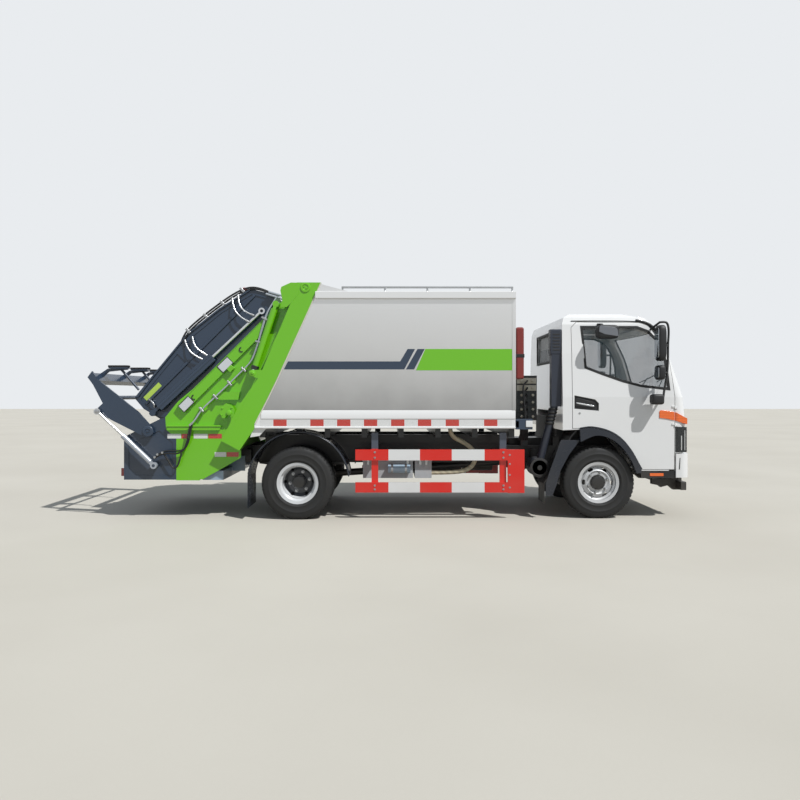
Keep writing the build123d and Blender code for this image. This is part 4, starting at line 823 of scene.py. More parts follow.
GUIDE_N = 1.796
GUIDE_Y = -0.945
marks = []
for u in (0.139, 0.891):
    x, z = along(u, GUIDE_N - 0.015)
    arc = [(x + r * math.cos(t), z + r * math.sin(t)) for r, turn in ((0.030, 1), (0.019, -1))
           for t in [math.radians(200 + turn * a) for a in range(-100, 101, 20)]]
    marks.append(prism(arc, GUIDE_Y - 0.007, GUIDE_Y + 0.001))
build("guide_crescents", two_sided(marks), black_enamel, "packer")
edges = [plate_on_slope(-0.06, 1.34, GUIDE_N + 0.047, GUIDE_N + 0.055, GUIDE_Y - 0.006, GUIDE_Y)]
edges += [plate_on_slope(u, u + 0.07, GUIDE_N - 0.105, GUIDE_N - 0.050, -0.953, -0.900) for u in (0.62, 1.13)]
build("guide_straps", two_sided(edges), green_enamel, "packer", rounded=0.003)
PLATE_AT = ((-0.052, GUIDE_N - 0.008), (0.566, GUIDE_N - 0.005))
borders = [plate_on_slope(u - 0.007, u + 0.157, n - 0.052, n + 0.050, GUIDE_Y - 0.005, GUIDE_Y + 0.001)
           for u, n in PLATE_AT]
plates = [plate_on_slope(u, u + 0.150, n - 0.045, n + 0.043, GUIDE_Y - 0.008, GUIDE_Y - 0.004) for u, n in PLATE_AT]
build("blank_plates", two_sided(plates), plate_sheet, "packer", rounded=0.002)
build("plate_borders", two_sided(borders), seal_rubber, "packer", rounded=0.001)
rivets = []
for u, n in PLATE_AT:
    for a, b in ((0.010, -0.034), (0.140, -0.034), (0.010, 0.032), (0.140, 0.032)):
        x, z = along(u + a, n + b)
        rivets.append(disc(x, z, GUIDE_Y - 0.008, -1, [(0.0038, 0), (0.0030, 0.0018), (0, 0.0022)], 12))
build("plate_rivets", two_sided(rivets), zinc_steel, "packer")

# Warning tape on the tailgate's side, in an upper and a lower row
tapes = {"red": [], "white": []}
for x0, x1, z0, tone in ((-1.470, -1.318, 0.895, "white"), (-1.312, -1.240, 0.895, "red"),
                         (-1.175, -1.020, 0.895, "white"), (-1.012, -0.860, 0.895, "red"),
                         (-0.940, -0.812, 0.690, "white"), (-0.806, -0.672, 0.690, "red")):
    tapes[tone].append(block(x0, x1, -0.9012, -0.8995, z0, z0 + 0.052))
build("tailgate_tape_red", two_sided(tapes["red"]), red_film, "packer")
build("tailgate_tape_white", two_sided(tapes["white"]), white_film, "packer")
# The side plate runs on under the posts, its top edge on a circle round the tailgate's hinge
arc = [(x, HINGE_Z - math.sqrt(1.926 ** 2 - (x - HINGE_X) ** 2)) for x in (-0.900, -0.840, -0.780, -0.710, -0.645)]
skirt = prism(arc + [(-0.645, 0.680), (-0.800, 0.590), (-1.075, 0.437), (-1.140, 0.437)], -0.8996, -0.8900)
build("tailgate_skirts", two_sided([skirt]), green_enamel, "packer")
fold = prism([(-1.470, 1.046), (-0.870, 1.046), (-0.862, 1.028), (-1.470, 1.028)], -0.945, -0.900)
build("tailgate_folds", two_sided([fold]), green_enamel, "packer", rounded=0.004)


# Carriage: edge lip, long ribs, oil pipes, label, jackets over the scraper's cylinders and marker lamps

CARRIAGE_Y = -0.800
lip = [(-0.330, 2.250), (-0.060, 2.290), (0.570, 2.352), (1.020, 2.298), (1.420, 2.208), (1.434, 2.225),
       (1.022, 2.317), (0.572, 2.371), (-0.069, 2.309), (-0.372, 2.277)]
build("carriage_edge_lip", two_sided([on_slope(lip, CARRIAGE_Y - 0.022, CARRIAGE_Y + 0.001)]), slate_enamel,
      "carriage", rounded=0.004)
ribs = [on_slope([(u0, n - 0.016), (u1, n - 0.016), (u1 - 0.01, n + 0.016), (u0 + 0.01, n + 0.016)],
                 CARRIAGE_Y - 0.010, CARRIAGE_Y + 0.012)
        for n, u0, u1 in ((2.140, -0.330, 1.420), (2.030, -0.280, 0.560))]
build("carriage_ribs", two_sided(ribs), slate_enamel, "carriage", rounded=0.006)
EDGE_LINE = ((0.470, 2.330), (0.567, 2.372), (0.742, 2.368), (1.005, 2.336), (1.261, 2.292), (1.416, 2.234),
             (1.496, 2.160), (1.560, 2.030), (1.600, 1.900))
edge_pipes = []
for d in (0.0, 0.026):
    line = [along(u, n + d) for u, n in EDGE_LINE]
    edge_pipes.append([(x, CARRIAGE_Y - 0.014, z) for x, z in line])
pipes("carriage_edge_pipes", across(edge_pipes), 0.0105, hose_rubber, "carriage")
# Points of each loop of pipe: run up the slide, height above it, stand-off from the carriage's side
loops = (((0.500, 2.335, 0.014), (0.462, 2.251, 0.050), (0.455, 2.140, 0.062), (0.490, 2.033, 0.045)),
         ((0.585, 2.300, 0.014), (0.545, 2.230, 0.050), (0.535, 2.132, 0.062), (0.559, 2.027, 0.045)),
         ((1.213, 2.290, 0.014), (1.150, 2.200, 0.060), (1.128, 2.070, 0.080), (1.165, 1.950, 0.080)),
         ((1.285, 2.270, 0.014), (1.225, 2.180, 0.060), (1.205, 2.080, 0.080), (1.255, 1.965, 0.080)),
         ((-0.262, 2.150, 0.012), (-0.250, 2.110, 0.036), (-0.255, 2.060, 0.036), (-0.280, 2.035, 0.020)))
routes, ends = [], []
for loop in loops:
    line = [(along(u, n)[0], CARRIAGE_Y - out, along(u, n)[1]) for u, n, out in loop]
    routes.append(line)
    for near, far in ((line[0], line[1]), (line[-1], line[-2])):
        span = math.dist(near, far)
        ends.append([near, tuple(a + (b - a) * 0.038 / span for a, b in zip(near, far))])
pipes("carriage_oil_pipes", across(routes), 0.0085, chrome_steel, "carriage")
pipes("carriage_pipe_unions", across(ends), 0.0135, zinc_steel, "carriage")
clips = [plate_on_slope(u - 0.014, u + 0.014, n - 0.032, n + 0.034, CARRIAGE_Y - 0.028, CARRIAGE_Y - 0.002)
         for u, n in ((0.60, 2.382), (0.86, 2.362), (1.10, 2.330), (1.36, 2.276))]
build("carriage_pipe_clips", two_sided(clips), zinc_steel, "carriage", rounded=0.003)
sticker = plate_on_slope(-0.297, -0.056, 2.160, 2.214, CARRIAGE_Y + 0.0085, CARRIAGE_Y + 0.012)
build("lime_label", two_sided([sticker]), lime_film, "carriage")
# Folded jacket over each scraper barrel, along its own line
eye, lever = Vector((-0.420, 2.330)), Vector((-1.651, 1.180))
run = (eye - lever).normalized()
rise = Vector((-run.y, run.x))


def on_barrel(outline):
    """An outline by its run along the barrel and its height over it."""
    return [tuple(lever + run * a + rise * b) for a, b in outline]


jacket = [(0.100, -0.050), (0.100, 0.040), (0.120, 0.055), (0.905, 0.055), (0.925, 0.040), (0.925, -0.050)]
crease = [(0.100, 0.020), (0.925, 0.020), (0.925, 0.026), (0.100, 0.026)]
jacket = [prism(on_barrel(jacket), -0.879, -0.811), prism(on_barrel(crease), -0.8815, -0.878)]
build("scraper_jackets", two_sided(jacket), slate_enamel, "scraper_barrels", rounded=0.006)
lamp_x, lamp_z = along(1.370, 2.268)
lamp = [upright([(0, 0.0), (0.030, 0.0), (0.030, 0.012), (0.026, 0.030), (0.016, 0.038), (0, 0.040)], 0, 0, 24)]
build("tail_marker_lamps", two_sided(moved(lamp, lamp_x, -0.74, lamp_z)), red_lens, "carriage")
bracket = moved([block(-0.05, 0.09, -0.045, 0.045, -0.030, 0.001)], lamp_x, -0.74, lamp_z)
build("tail_marker_brackets", two_sided(bracket), zinc_steel, "carriage", rounded=0.004)


# Bin lifter: caps on its pins, and pads on its comb

rim = [(0, 0), (0.062, 0), (0.062, 0.008), (0.056, 0.014), (0.030, 0.016), (0.026, 0.010), (0, 0.010)]
caps = [disc(-1.676, 0.978, -0.942, -1, rim)]
caps += hexagon(-1.676, 0.978, -0.952, -1, 0.014, 0.010)
build("lifter_pin_caps", two_sided(caps), slate_enamel, "lifter")
caps = [disc(-2.226, 1.200, -0.999, -1, button(0.024, 0.006, 0.018, 0.009))]
build("crank_pin_caps", two_sided(caps), zinc_steel, "lifter")
pad = ((-0.060, 1.702), (-0.060, 1.716), (-0.050, 1.722), (0.050, 1.722), (0.060, 1.716), (0.060, 1.702))
pads = [cross([(y + dy, z) for dy, z in pad], -2.185, -1.970) for y in (-0.72, 0.0, 0.72)]
build("comb_pads", pads, seal_rubber, "lifter", rounded=0.003)


# Rear mudguards: a bead along each edge and a fold down the flap

ARCH_AT, ARCH_ROUND = (0.01, 0.41), 0.566
beads = [[(ARCH_AT[0] + r * math.cos(math.radians(a)), y, ARCH_AT[1] + r * math.sin(math.radians(a)))
          for a in range(8, 173, 6)]
         for y, r in ((-1.012, ARCH_ROUND - 0.003), (-0.985, ARCH_ROUND + 0.001), (-0.530, ARCH_ROUND))]
pipes("mudguard_beads", across(beads), 0.008, guard_plastic)
flap_x = ARCH_AT[0] - ARCH_ROUND
ribs = [block(flap_x - 0.001, flap_x + 0.009, y - 0.010, y + 0.010, 0.160, 0.560)
        for y in (-0.94, -0.86, -0.78, -0.70, -0.62)]
build("flap_ribs", two_sided(ribs), guard_plastic, rounded=0.003)


# Side guard: its bolts, and the lids, latches and straps of the gear behind it

bolts = []
for x in (0.858, 2.280):
    for z in (0.340, 0.382, 0.690, 0.750):
        bolts += hexagon(x, z, -1.020, -1, 0.010, 0.008)
for z in (0.36, 0.50, 0.62, 0.72):
    bolts += hexagon(2.350, z, -1.020, -1, 0.009, 0.006)
build("guard_bolts", two_sided(bolts), zinc_steel)
lids, latches = [], []
for x0, x1 in ((0.719, 1.286), (1.309, 1.498)):
    lids.append(block(x0 - 0.008, x1 + 0.008, -0.808, -0.380, 0.630, 0.672))
    for x in (x0 + 0.06, x1 - 0.06):
        latches.append(block(x - 0.014, x + 0.014, -0.815, -0.806, 0.590, 0.655))
build("box_lids", lids, grey_enamel, rounded=0.008)
build("box_latches", latches, zinc_steel, rounded=0.002)
straps = [facing([(0.0505, x - 0.012), (0.0505, x + 0.012)], -0.8483, 0.550, 40) for x in (1.050, 1.205)]
build("air_tank_straps", straps, zinc_steel)


# Cab: seals, handles, markers, grille, wipers, rain channels, mirrors, headlamps and arch lips

DOOR_WINDOW = ((3.172, 2.148), (3.208, 1.690), (3.400, 1.615), (3.627, 1.535), (3.822, 1.483), (4.138, 1.447),
               (4.108, 1.760), (4.074, 1.890), (4.006, 2.010), (3.920, 2.100), (3.800, 2.146))
# Columns: height, X of the front corner, half width, bow of the front
CAB_ROWS = ((0.540, 4.318, 0.960, 0.096), (1.050, 4.346, 0.960, 0.096), (1.360, 4.321, 0.960, 0.094),
            (1.850, 4.170, 0.925, 0.084), (2.175, 4.012, 0.888, 0.070), (2.255, 3.925, 0.858, 0.060),
            (2.300, 3.740, 0.780, 0.040))


def cab_row(z):
    """Front corner, half width and bow of the cab at height z."""
    for low, high in zip(CAB_ROWS, CAB_ROWS[1:]):
        if z <= high[0]:
            t = (z - low[0]) / (high[0] - low[0])
            return [low[k] + (high[k] - low[k]) * t for k in (1, 2, 3)]
    return CAB_ROWS[-1][1:]


def lean(z):
    """How far out the cab's side is at height z."""
    return cab_row(z)[1]


def inward(outline, by):
    """An outline moved towards its own middle by a distance, corner by corner."""
    out = []
    n = len(outline)
    for k in range(n):
        a, b, c = (Vector(outline[(k + d) % n]) for d in (-1, 0, 1))
        u, v = (b - a).normalized(), (c - b).normalized()
        nu, nv = Vector((u.y, -u.x)), Vector((v.y, -v.x))
        middle = (nu + nv).normalized()
        out.append(tuple(b + middle * (by / max(0.4, middle.dot(nu)))))
    return out


def ring_on_side(outer, inner, out, deep):
    """A flat seal between two outlines, lying on the leaning side of the cab."""
    n = len(outer)
    points = []
    for line, lift in ((outer, out), (inner, out), (inner, -deep), (outer, -deep)):
        points += [(x, -(lean(z) + lift), z) for x, z in line]
    faces = []
    for ring in range(4):
        after = (ring + 1) % 4
        faces += [(ring * n + k, ring * n + (k + 1) % n, after * n + (k + 1) % n, after * n + k) for k in range(n)]
    return points, faces


seal = [ring_on_side(inward(DOOR_WINDOW, -0.016), inward(DOOR_WINDOW, 0.012), 0.003, 0.016)]
on_doors("door_seal", seal, seal_rubber, rounded=0.002)

recess = [(3.082, 1.232), (3.082, 1.378), (3.311, 1.332), (3.351, 1.290), (3.351, 1.208)]
grip = [(3.085, 1.262), (3.085, 1.338), (3.120, 1.350), (3.290, 1.306), (3.312, 1.290), (3.312, 1.254), (3.280, 1.244)]
edge = [(3.100, 1.292), (3.100, 1.300), (3.128, 1.298), (3.296, 1.266), (3.302, 1.256), (3.290, 1.252), (3.120, 1.284)]
lock = disc(3.138, 1.180, -0.960, -1, [(0, 0), (0.012, 0), (0.012, 0.003), (0.008, 0.004), (0, 0.002)], 20)
marker = [(4.024, 1.128), (4.024, 1.200), (4.040, 1.214), (4.120, 1.206), (4.192, 1.192), (4.192, 1.098),
          (4.110, 1.116)]
on_doors("handle_tray", [prism(recess, -0.944, -0.938)], black_plastic, rounded=0.002)
on_doors("handle_grip", [prism(grip, -0.962, -0.950), block(3.095, 3.120, -0.951, -0.943, 1.275, 1.300)],
         black_plastic, rounded=0.004)
on_doors("handle_edge", [prism(edge, -0.9645, -0.9615)], chrome_steel, rounded=0.001)
on_doors("key_lock", [lock], zinc_steel)
on_doors("side_marker", [prism(marker, -0.968, -0.955)], amber_lens, rounded=0.004)
reflector = [block(3.918, 4.071, -0.965, -0.958, 0.480, 0.512)]
for side in SIDES:
    build("valance_reflector_" + SIDE_NAME[side], reflector if side < 0 else flipped(reflector), amber_lens,
          rounded=0.003)


def bowed(y, z, out=0.0):
    """X of the cab's front at a place."""
    x, half, bulge = cab_row(z)
    edge = half - 0.1
    radius = (edge * edge + bulge * bulge) / (2 * bulge)
    return x + bulge - radius + math.sqrt(max(0, radius ** 2 - y * y)) + out


def on_front(y0, y1, z0, z1, out0, out1, steps=10):
    """A strip that follows the bow of the cab's front."""
    ys = [y0 + (y1 - y0) * k / steps for k in range(steps + 1)]
    points = []
    for z in (z0, z1):
        for out in (out0, out1):
            points += [(bowed(y, z, out), y, z) for y in ys]
    n = steps + 1
    faces = []
    for k in range(steps):
        faces += [(k, k + 1, n + k + 1, n + k), (2 * n + k, 3 * n + k, 3 * n + k + 1, 2 * n + k + 1),
                  (k, 2 * n + k, 2 * n + k + 1, k + 1), (n + k, n + k + 1, 3 * n + k + 1, 3 * n + k)]
    faces += [(0, n, 3 * n, 2 * n), (n - 1, 3 * n - 1, 4 * n - 1, 2 * n - 1)]
    return points, faces


slats = [on_front(-0.46, 0.46, 0.840 + 0.080 * k, 0.868 + 0.080 * k, 0.002, 0.0075, 16) for k in range(6)]
build("grille_slats", slats, black_plastic, rounded=0.003)
build("grille_trim", [on_front(-0.53, 0.53, 1.300, 1.322, 0.003, 0.0078, 16),
                      on_front(-0.53, 0.53, 0.750, 0.766, 0.003, 0.0078, 16)],
      chrome_steel, rounded=0.003)
frame_top, frame_low = 2.112, 1.470
seal = [on_front(-0.735, 0.735, frame_top - 0.004, frame_top + 0.022, -0.012, 0.003, 20),
        on_front(-0.785, 0.785, frame_low - 0.022, frame_low + 0.006, -0.012, 0.003, 20)]
for s in SIDES:
    post = []
    for z in [frame_low - 0.02 + k * (frame_top + 0.02 - frame_low + 0.02) / 8 for k in range(9)]:
        edge = 0.775 - 0.050 * (z - frame_low) / (frame_top - frame_low)
        post += [(bowed(edge + dy, z, out), s * (edge + dy), z)
                 for dy, out in ((-0.006, -0.012), (0.020, -0.012), (0.020, 0.003), (-0.006, 0.003))]
    faces = [(4 * k + i, 4 * k + (i + 1) % 4, 4 * k + 4 + (i + 1) % 4, 4 * k + 4 + i) for k in range(8)
             for i in range(4)]
    seal.append((post, faces + [(0, 1, 2, 3), (35, 34, 33, 32)]))
build("windscreen_seal", seal, seal_rubber, rounded=0.002)

wipers = [[(bowed(y0, 1.47, 0.012), y0, 1.455), (bowed(y0, 1.52, 0.020), y0 - 0.10, 1.500),
           (bowed((y0 + y1) / 2, 1.62, 0.020), (y0 + y1) / 2, 1.600)] for y0, y1 in ((0.10, -0.52), (0.62, 0.02))]
pipes("wiper_arms", wipers, 0.006, black_enamel)
blades = [[(bowed(y, 1.545 + 0.02 * k, 0.010), y, 1.545 + 0.025 * k) for k, y in enumerate(ys)]
          for ys in ([y0 + (y1 - y0) * k / 4 for k in range(5)] for y0, y1 in ((0.06, -0.56), (0.58, -0.02)))]
pipes("wiper_blades", blades, 0.005, seal_rubber)

# Rain channel over the door, from the rear post to the front pillar
channel = [(3.060, 2.214), (3.300, 2.216), (3.780, 2.214), (3.900, 2.190), (4.020, 2.085), (4.090, 1.950)]
route = [(x, -(lean(z) + 0.002), z) for x, z in channel]
pipes("rain_channels", across([route]), 0.006, seal_rubber)
garnish = [(x, -(lean(z) + 0.004), z) for x, z in ((3.790, 2.222), (3.900, 2.203), (3.990, 2.140), (4.055, 2.060))]
pipes("pillar_garnish", across([garnish]), 0.015, black_plastic)


def rounded_head(x0, x1, y0, y1, z0, z1, square=0.42, rings=18, steps=36):
    """A mirror's housing: a box whose corners and edges swell into each other."""
    def swell(w):
        return math.copysign(abs(w) ** square, w)
    points = []
    for i in range(1, rings):
        v = math.pi * i / rings
        for k in range(steps):
            u = 2 * math.pi * k / steps
            points.append(((x0 + x1) / 2 + (x1 - x0) / 2 * swell(math.cos(v)),
                           (y0 + y1) / 2 + (y1 - y0) / 2 * swell(math.sin(v)) * swell(math.cos(u)),
                           (z0 + z1) / 2 + (z1 - z0) / 2 * swell(math.sin(v)) * swell(math.sin(u))))
    faces = [(i * steps + k, i * steps + (k + 1) % steps, (i + 1) * steps + (k + 1) % steps, (i + 1) * steps + k)
             for i in range(rings - 2) for k in range(steps)]
    faces += [tuple(range(steps)), tuple(range((rings - 1) * steps - 1, (rings - 2) * steps - 1, -1))]
    return points, faces


def mirror_pane(x, y0, y1, z0, z1, corner=0.03, steps=6):
    """A pane with round corners, facing back."""
    outline = []
    low, high = z0 + corner, z1 - corner
    for cy, cz, start in ((y1 - corner, high, 0), (y0 + corner, high, 90), (y0 + corner, low, 180),
                          (y1 - corner, low, 270)):
        for k in range(steps + 1):
            t = math.radians(start + 90 * k / steps)
            outline.append((cy + corner * math.cos(t), cz + corner * math.sin(t)))
    return cross(outline, x - 0.001, x + 0.003)


# Columns: rear, front, inner and outer side, bottom and top of each mirror's housing
MIRROR_HEADS = ((3.938, 4.028, -1.200, -1.030, 1.754, 2.147), (3.938, 4.014, -1.200, -1.030, 1.548, 1.709),
                (3.890, 4.024, -1.140, -1.010, 1.277, 1.393), (3.292, 3.533, -1.130, -1.000, 2.000, 2.152))
STANDS = [(4.030, -1.060, 1.338), (4.040, -1.060, 1.430), (4.075, -1.060, 1.600), (4.084, -1.060, 1.780),
          (4.084, -1.060, 1.950), (4.094, -1.060, 2.090), (4.080, -1.060, 2.175), (4.040, -1.060, 2.190),
          (3.988, -1.056, 2.182)]
bars = [STANDS, [(4.030, -1.060, 1.345), (4.034, -1.060, 1.334), (4.030, -1.010, 1.330), (4.030, -0.948, 1.330)],
        [(4.084, -1.060, 1.950), (4.070, -0.980, 1.950), (4.050, -0.912, 1.950)],
        [(3.992, -1.060, 2.182), (3.975, -0.980, 2.155), (3.950, -0.900, 2.120)],
        [(4.084, -1.060, 1.930), (4.050, -1.090, 1.930), (3.990, -1.110, 1.940)],
        [(4.075, -1.060, 1.630), (4.040, -1.085, 1.630), (3.990, -1.110, 1.630)],
        [(3.380, -0.900, 2.172), (3.385, -0.960, 2.172), (3.395, -1.040, 2.120), (3.400, -1.065, 2.080)]]
housings = on_doors("mirror_heads", [rounded_head(*row) for row in MIRROR_HEADS], black_plastic, angle=60)
for side, heads in zip(SIDES, housings):
    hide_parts("mirrors_" + SIDE_NAME[side])
    pipes("mirror_bars_" + SIDE_NAME[side], [[(x, y * -side, z) for x, y, z in route] for route in bars], 0.0125,
          black_enamel, "door_" + SIDE_NAME[side])
face = [(3.306, 2.075), (3.312, 2.130), (3.330, 2.141), (3.480, 2.122), (3.506, 2.104), (3.520, 2.034), (3.510, 2.024),
        (3.370, 2.046)]
on_doors("door_top_mirror_face", [prism(face, -1.1325, -1.122)], mirror_plastic, rounded=0.003)
on_doors("mirror_glass", [mirror_pane(3.9385, -1.180, -1.050, 1.785, 2.115),
                          mirror_pane(3.9385, -1.182, -1.048, 1.570, 1.687, 0.02)],
         mirror_glass)
on_doors("mirror_feet", [block(3.350, 3.410, -0.906, -0.884, 2.158, 2.186),
                         block(4.015, 4.055, -0.968, -0.958, 1.300, 1.362),
                         block(4.035, 4.068, -0.924, -0.908, 1.930, 1.970)], black_plastic, rounded=0.004)

# Rear window's seal
seal = [block(2.942, 2.953, *edges) for edges in ((-0.468, 0.468, 2.100, 2.128), (-0.468, 0.468, 1.762, 1.790),
                                                  (-0.468, -0.440, 1.762, 2.128), (0.440, 0.468, 1.762, 2.128))]
build("rear_window_seal", seal, seal_rubber, rounded=0.004)


def round_the_corner(z_rear, z_corner, z_inner, x_rear, y_inner, out, steps=10):
    """A lens from the cab's side round its corner: low and high at its rear end, its corner and its inner end."""
    spots = []
    for k in range(5):
        t = k / 4
        low, high = (a + (b - a) * t for a, b in zip(z_rear, z_corner))
        x = x_rear + (cab_row((low + high) / 2)[0] - 0.010 - x_rear) * t
        spots.append((x, -(lean((low + high) / 2) + out), low, high))
    for k in range(1, steps + 1):
        t = k / steps
        low, high = (a + (b - a) * t for a, b in zip(z_corner, z_inner))
        y = -0.950 + (0.950 - y_inner) * t
        spots.append((bowed(y, (low + high) / 2, out), y, low, high))
    outer = [(x, y, z) for x, y, low, high in spots for z in (low, (low + high) / 2, high)]
    inner = [(x - 0.012, y + 0.012, z) for x, y, z in outer]
    n = len(spots)
    points = outer + inner
    faces = [(3 * k + r, 3 * k + 3 + r, 3 * k + 4 + r, 3 * k + 1 + r) for k in range(n - 1) for r in (0, 1)]
    faces += [tuple(i + 3 * n for i in reversed(face)) for face in faces]
    for k in range(n - 1):
        faces += [(3 * k, 3 * k + 3 * n, 3 * k + 3 + 3 * n, 3 * k + 3),
                  (3 * k + 2, 3 * k + 5, 3 * k + 5 + 3 * n, 3 * k + 2 + 3 * n)]
    for k in (0, 3 * (n - 1)):
        faces += [(k, k + 1, k + 1 + 3 * n, k + 3 * n), (k + 1, k + 2, k + 2 + 3 * n, k + 1 + 3 * n)]
    return points, faces


# Headlamps: a black back, chrome bowls, a smoked lens round the corner and chrome strips; markers at the corners
LAMP = ((0.745, 1.030), (0.748, 1.026), (0.752, 1.000), 4.212, 0.565)
backs = build("headlamp_backs", two_sided([round_the_corner(*LAMP, 0.002)]), seal_rubber, angle=50)
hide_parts("cab_lamps")
bowls = []
for y, z, r in ((0.66, 0.875, 0.062), (0.82, 0.885, 0.058), (0.66, 0.790, 0.018), (0.72, 0.790, 0.018),
                (0.78, 0.790, 0.018)):
    x = bowed(y, z) + 0.001
    bowls.append(facing([(0.0, x + 0.008), (r * 0.22, x + 0.007), (r * 0.30, x + 0.002), (r * 0.55, x + 0.0025),
                         (r * 0.92, x + 0.008), (r, x + 0.009)], y, z, 32))
build("headlamp_bowls", two_sided(bowls), chrome_steel)
build("headlamp_lenses", two_sided([round_the_corner(*LAMP, 0.0125)]), lamp_glass, angle=50)
markers = [round_the_corner((1.098, 1.190), (1.058, 1.122), (1.050, 1.098), 4.208, 0.800, 0.010)]
build("corner_markers", two_sided(markers), amber_lens, angle=50)
strips = [block(4.262, 4.272, -0.9745, -0.9720, 0.770, 0.930), block(4.300, 4.308, -0.9745, -0.9720, 0.770, 0.990)]
strips.append(on_front(-0.930, -0.600, 0.985, 0.993, 0.0105, 0.0135))
build("headlamp_strips", two_sided(strips), chrome_steel)

# Bumper: the slit at each end, and the bar under it
slits = [prism([(4.236, 0.556), (4.246, 0.684), (4.254, 0.684), (4.248, 0.556)], -0.9762, -0.9735)]
build("bumper_slits", two_sided(slits), seal_rubber)
bracket = [(4.060, 0.415), (4.060, 0.350), (4.140, 0.335), (4.165, 0.312), (4.250, 0.335), (4.310, 0.285),
           (4.405, 0.285), (4.410, 0.415), (4.380, 0.468), (4.300, 0.468), (4.280, 0.415)]
bar = cross([(-0.780, 0.300), (-0.780, 0.395), (0.780, 0.395), (0.780, 0.300)], 4.335, 4.400)
build("underrun_bar", two_sided([prism(bracket, -0.620, -0.560)]) + [bar], black_enamel, rounded=0.006)

# Side flanges of the mudguards behind the front wheels
flange = [(2.930, 0.880), (2.866, 0.700), (2.800, 0.520), (2.760, 0.395), (2.760, 0.257), (2.835, 0.257),
          (2.880, 0.371), (2.925, 0.535), (3.021, 0.715), (3.144, 0.880)]
build("mudguard_flanges", two_sided([prism(flange, -0.956, -0.948)]), guard_plastic, rounded=0.003)


def flowing(points, steps=8):
    """A smooth line through points in X and Z."""
    line = []
    for k in range(len(points) - 1):
        a, b, c, d = (points[min(max(k + i, 0), len(points) - 1)] for i in (-1, 0, 1, 2))
        for i in range(steps):
            t = i / steps
            line.append(tuple(0.5 * (2 * b[m] + (c[m] - a[m]) * t + (2 * a[m] - 5 * b[m] + 4 * c[m] - d[m]) * t * t
                                     + (3 * b[m] - a[m] - 3 * c[m] + d[m]) * t ** 3) for m in (0, 1)))
    return line + [points[-1]]


# Arch flares: a smooth lip inside the door's edge, and a thin one on the door that follows it
FLARE_IN = ((3.143, 0.862), (3.304, 0.930), (3.440, 0.912), (3.574, 0.829), (3.693, 0.678), (3.766, 0.508))
outer = [(3.135, 1.006), (3.270, 1.020), (3.451, 0.978), (3.593, 0.892), (3.709, 0.754), (3.795, 0.602),
         (3.818, 0.556), (3.816, 0.514), (3.774, 0.514)]
lip = prism(outer + flowing(FLARE_IN)[::-1], -0.9885, -0.9050)
build("arch_lips", two_sided([lip]), guard_plastic, angle=25)
EDGE = ((3.135, 1.012), (3.271, 1.026), (3.454, 0.984), (3.597, 0.897), (3.714, 0.758), (3.800, 0.605), (3.829, 0.556))
band = prism(list(EDGE) + flowing([(x + 0.006, z + 0.008) for x, z in EDGE])[::-1], -0.9640, -0.9595)
on_doors("door_edge", [band], guard_plastic)


# Gear between the cab and the box: valve stack with its pipes, the red case and the air intake

VALVES = 6
VALVE_STEP = 0.083
nut = [(0, 0), (0.020, 0), (0.020, 0.010), (0.013, 0.014), (0.013, 0.026), (0, 0.026)]
stack, tops, lines = [], [], []
for k in range(VALVES):
    low = 1.100 + k * VALVE_STEP
    z = low + 0.033
    stack.append(block(2.508, 2.732, -0.572, -0.548, low, low + 0.066))
    stack += [disc(x, z, -0.572, -1, nut, 6) for x in (2.555, 2.620, 2.685)]
    tops += [disc(x, z, -0.598, -1, button(0.015, 0.020, 0.009, 0.026), 16) for x in (2.555, 2.685)]
    lines.append([(2.620, -0.598, z), (2.620, -0.650, z), (2.600 - 0.012 * k, -0.680, z - 0.06),
                  (2.560 + 0.012 * k, -0.670, 1.02), (2.520 + 0.02 * k, -0.600, 0.860)])
# The four lower slices are bare castings, the two upper ones painted
build("valve_slices", stack[:16], valve_casting, rounded=0.003)
build("valve_head_slices", stack[16:], cream_enamel, rounded=0.003)
build("valve_solenoids", tops, cream_enamel)
pipes("valve_pipes", lines, 0.010, hose_rubber)
# the case's dark red is painted shade: a red case in the shade between the cab and the box
build("red_case", [block(2.430, 2.520, -0.960, -0.740, 1.560, 2.140)], red_enamel_painted_shade, rounded=0.020)
build("red_case_band", [block(2.426, 2.524, -0.963, -0.737, 1.800, 1.840)], hose_rubber, rounded=0.004)
head = [(-0.905, 1.845), (-0.905, 2.110), (-0.895, 2.122), (-0.800, 2.122), (-0.790, 2.110), (-0.790, 1.845),
        (-0.800, 1.835), (-0.895, 1.835)]
build("intake_head", [cross(head, 2.826, 2.948)], intake_plastic, rounded=0.006)
slots = [block(*spot, 1.88 + 0.035 * k, 1.895 + 0.035 * k)
         for spot in ((2.823, 2.828, -0.885, -0.815), (2.850, 2.930, -0.908, -0.904)) for k in range(6)]
build("intake_louvres", slots, black_enamel, rounded=0.002)
rings = []
for k in range(5):
    z = 1.050 + 0.040 * k
    # how far down the leaning part of the duct the ring sits
    share = (1.262 - z) / 0.622
    rings.append(upright([(0.044, z), (0.054, z + 0.010), (0.054, z + 0.018), (0.044, z + 0.028)],
                         2.880 - 0.150 * share, -0.850 + 0.060 * share, 28))
build("intake_bellows", rings, seal_rubber)
rim = [(0.110, -0.03), (0.113, -0.012), (0.110, 0.002), (0.085, 0.006), (0.080, 0.000), (0.030, 0.000), (0.026, 0.008),
       (0, 0.010)]
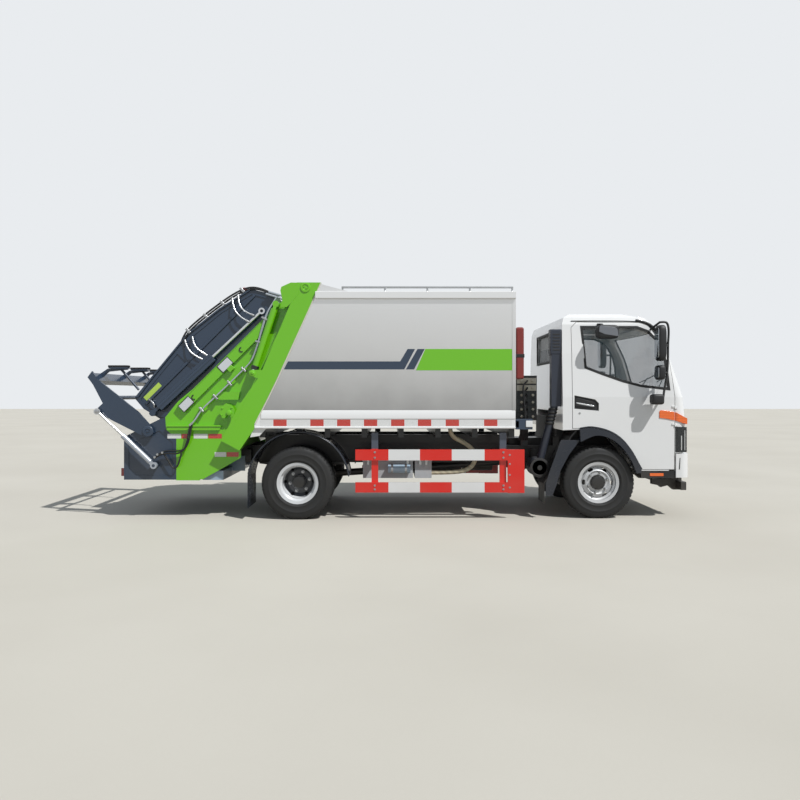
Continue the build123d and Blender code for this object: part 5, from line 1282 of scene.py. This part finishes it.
build("air_cleaner_cap", [disc(2.715, 0.562, -0.850, -1, rim)], black_enamel)


# Seat cushions and their pedestals, seen through the glass

def cushion(x0, x1, y0, y1, z0, z1):
    """A crowned pad as a cage for subdivision: full in the middle, pulled in at its piped edges."""
    xs = [x0, x0 + 0.03, (x0 + x1) / 2, x1 - 0.03, x1]
    ys = [y0, y0 + 0.03, (y0 + y1) / 2, y1 - 0.03, y1]
    points, index = [], {}
    for top in (0, 1):
        for i, x in enumerate(xs):
            for j, y in enumerate(ys):
                middle = (1 - abs(i - 2) / 2) * (1 - abs(j - 2) / 2)
                z = z1 - 0.022 + 0.035 * middle if top else z0
                index[top, i, j] = len(points)
                points.append((x, y, z))
    faces = []
    for i in range(4):
        for j in range(4):
            faces.append((index[1, i, j], index[1, i + 1, j], index[1, i + 1, j + 1], index[1, i, j + 1]))
            faces.append((index[0, i, j], index[0, i, j + 1], index[0, i + 1, j + 1], index[0, i + 1, j]))
    for k in range(4):
        faces += [(index[0, k, 0], index[0, k + 1, 0], index[1, k + 1, 0], index[1, k, 0]),
                  (index[0, k, 4], index[1, k, 4], index[1, k + 1, 4], index[0, k + 1, 4]),
                  (index[0, 0, k], index[1, 0, k], index[1, 0, k + 1], index[0, 0, k + 1]),
                  (index[0, 4, k], index[0, 4, k + 1], index[1, 4, k + 1], index[1, 4, k])]
    return points, faces


pads = []
for y, width in ((-0.52, 0.48), (0.0, 0.42), (0.52, 0.48)):
    pads.append(cushion(3.125, 3.640, y - width / 2, y + width / 2, 1.290, 1.405))
    back = [cushion(-0.28, 0.28, y - width / 2, y + width / 2, -0.06, 0.055)]
    pads += swung(moved(back, 3.082, 0, 1.690), (3.082, 1.690), 97)
seats = build("seat_cushions", pads, seat_cloth, subdivide=2, angle=60)
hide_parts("seats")
feet = [block(3.160, 3.420, y0, y1, z, 1.292)
        for y0, y1, z in ((0.505, 0.740, 1.049), (-0.150, 0.150, 1.239), (-0.740, -0.505, 1.049))]
build("seat_pedestals", feet, black_enamel, rounded=0.01)
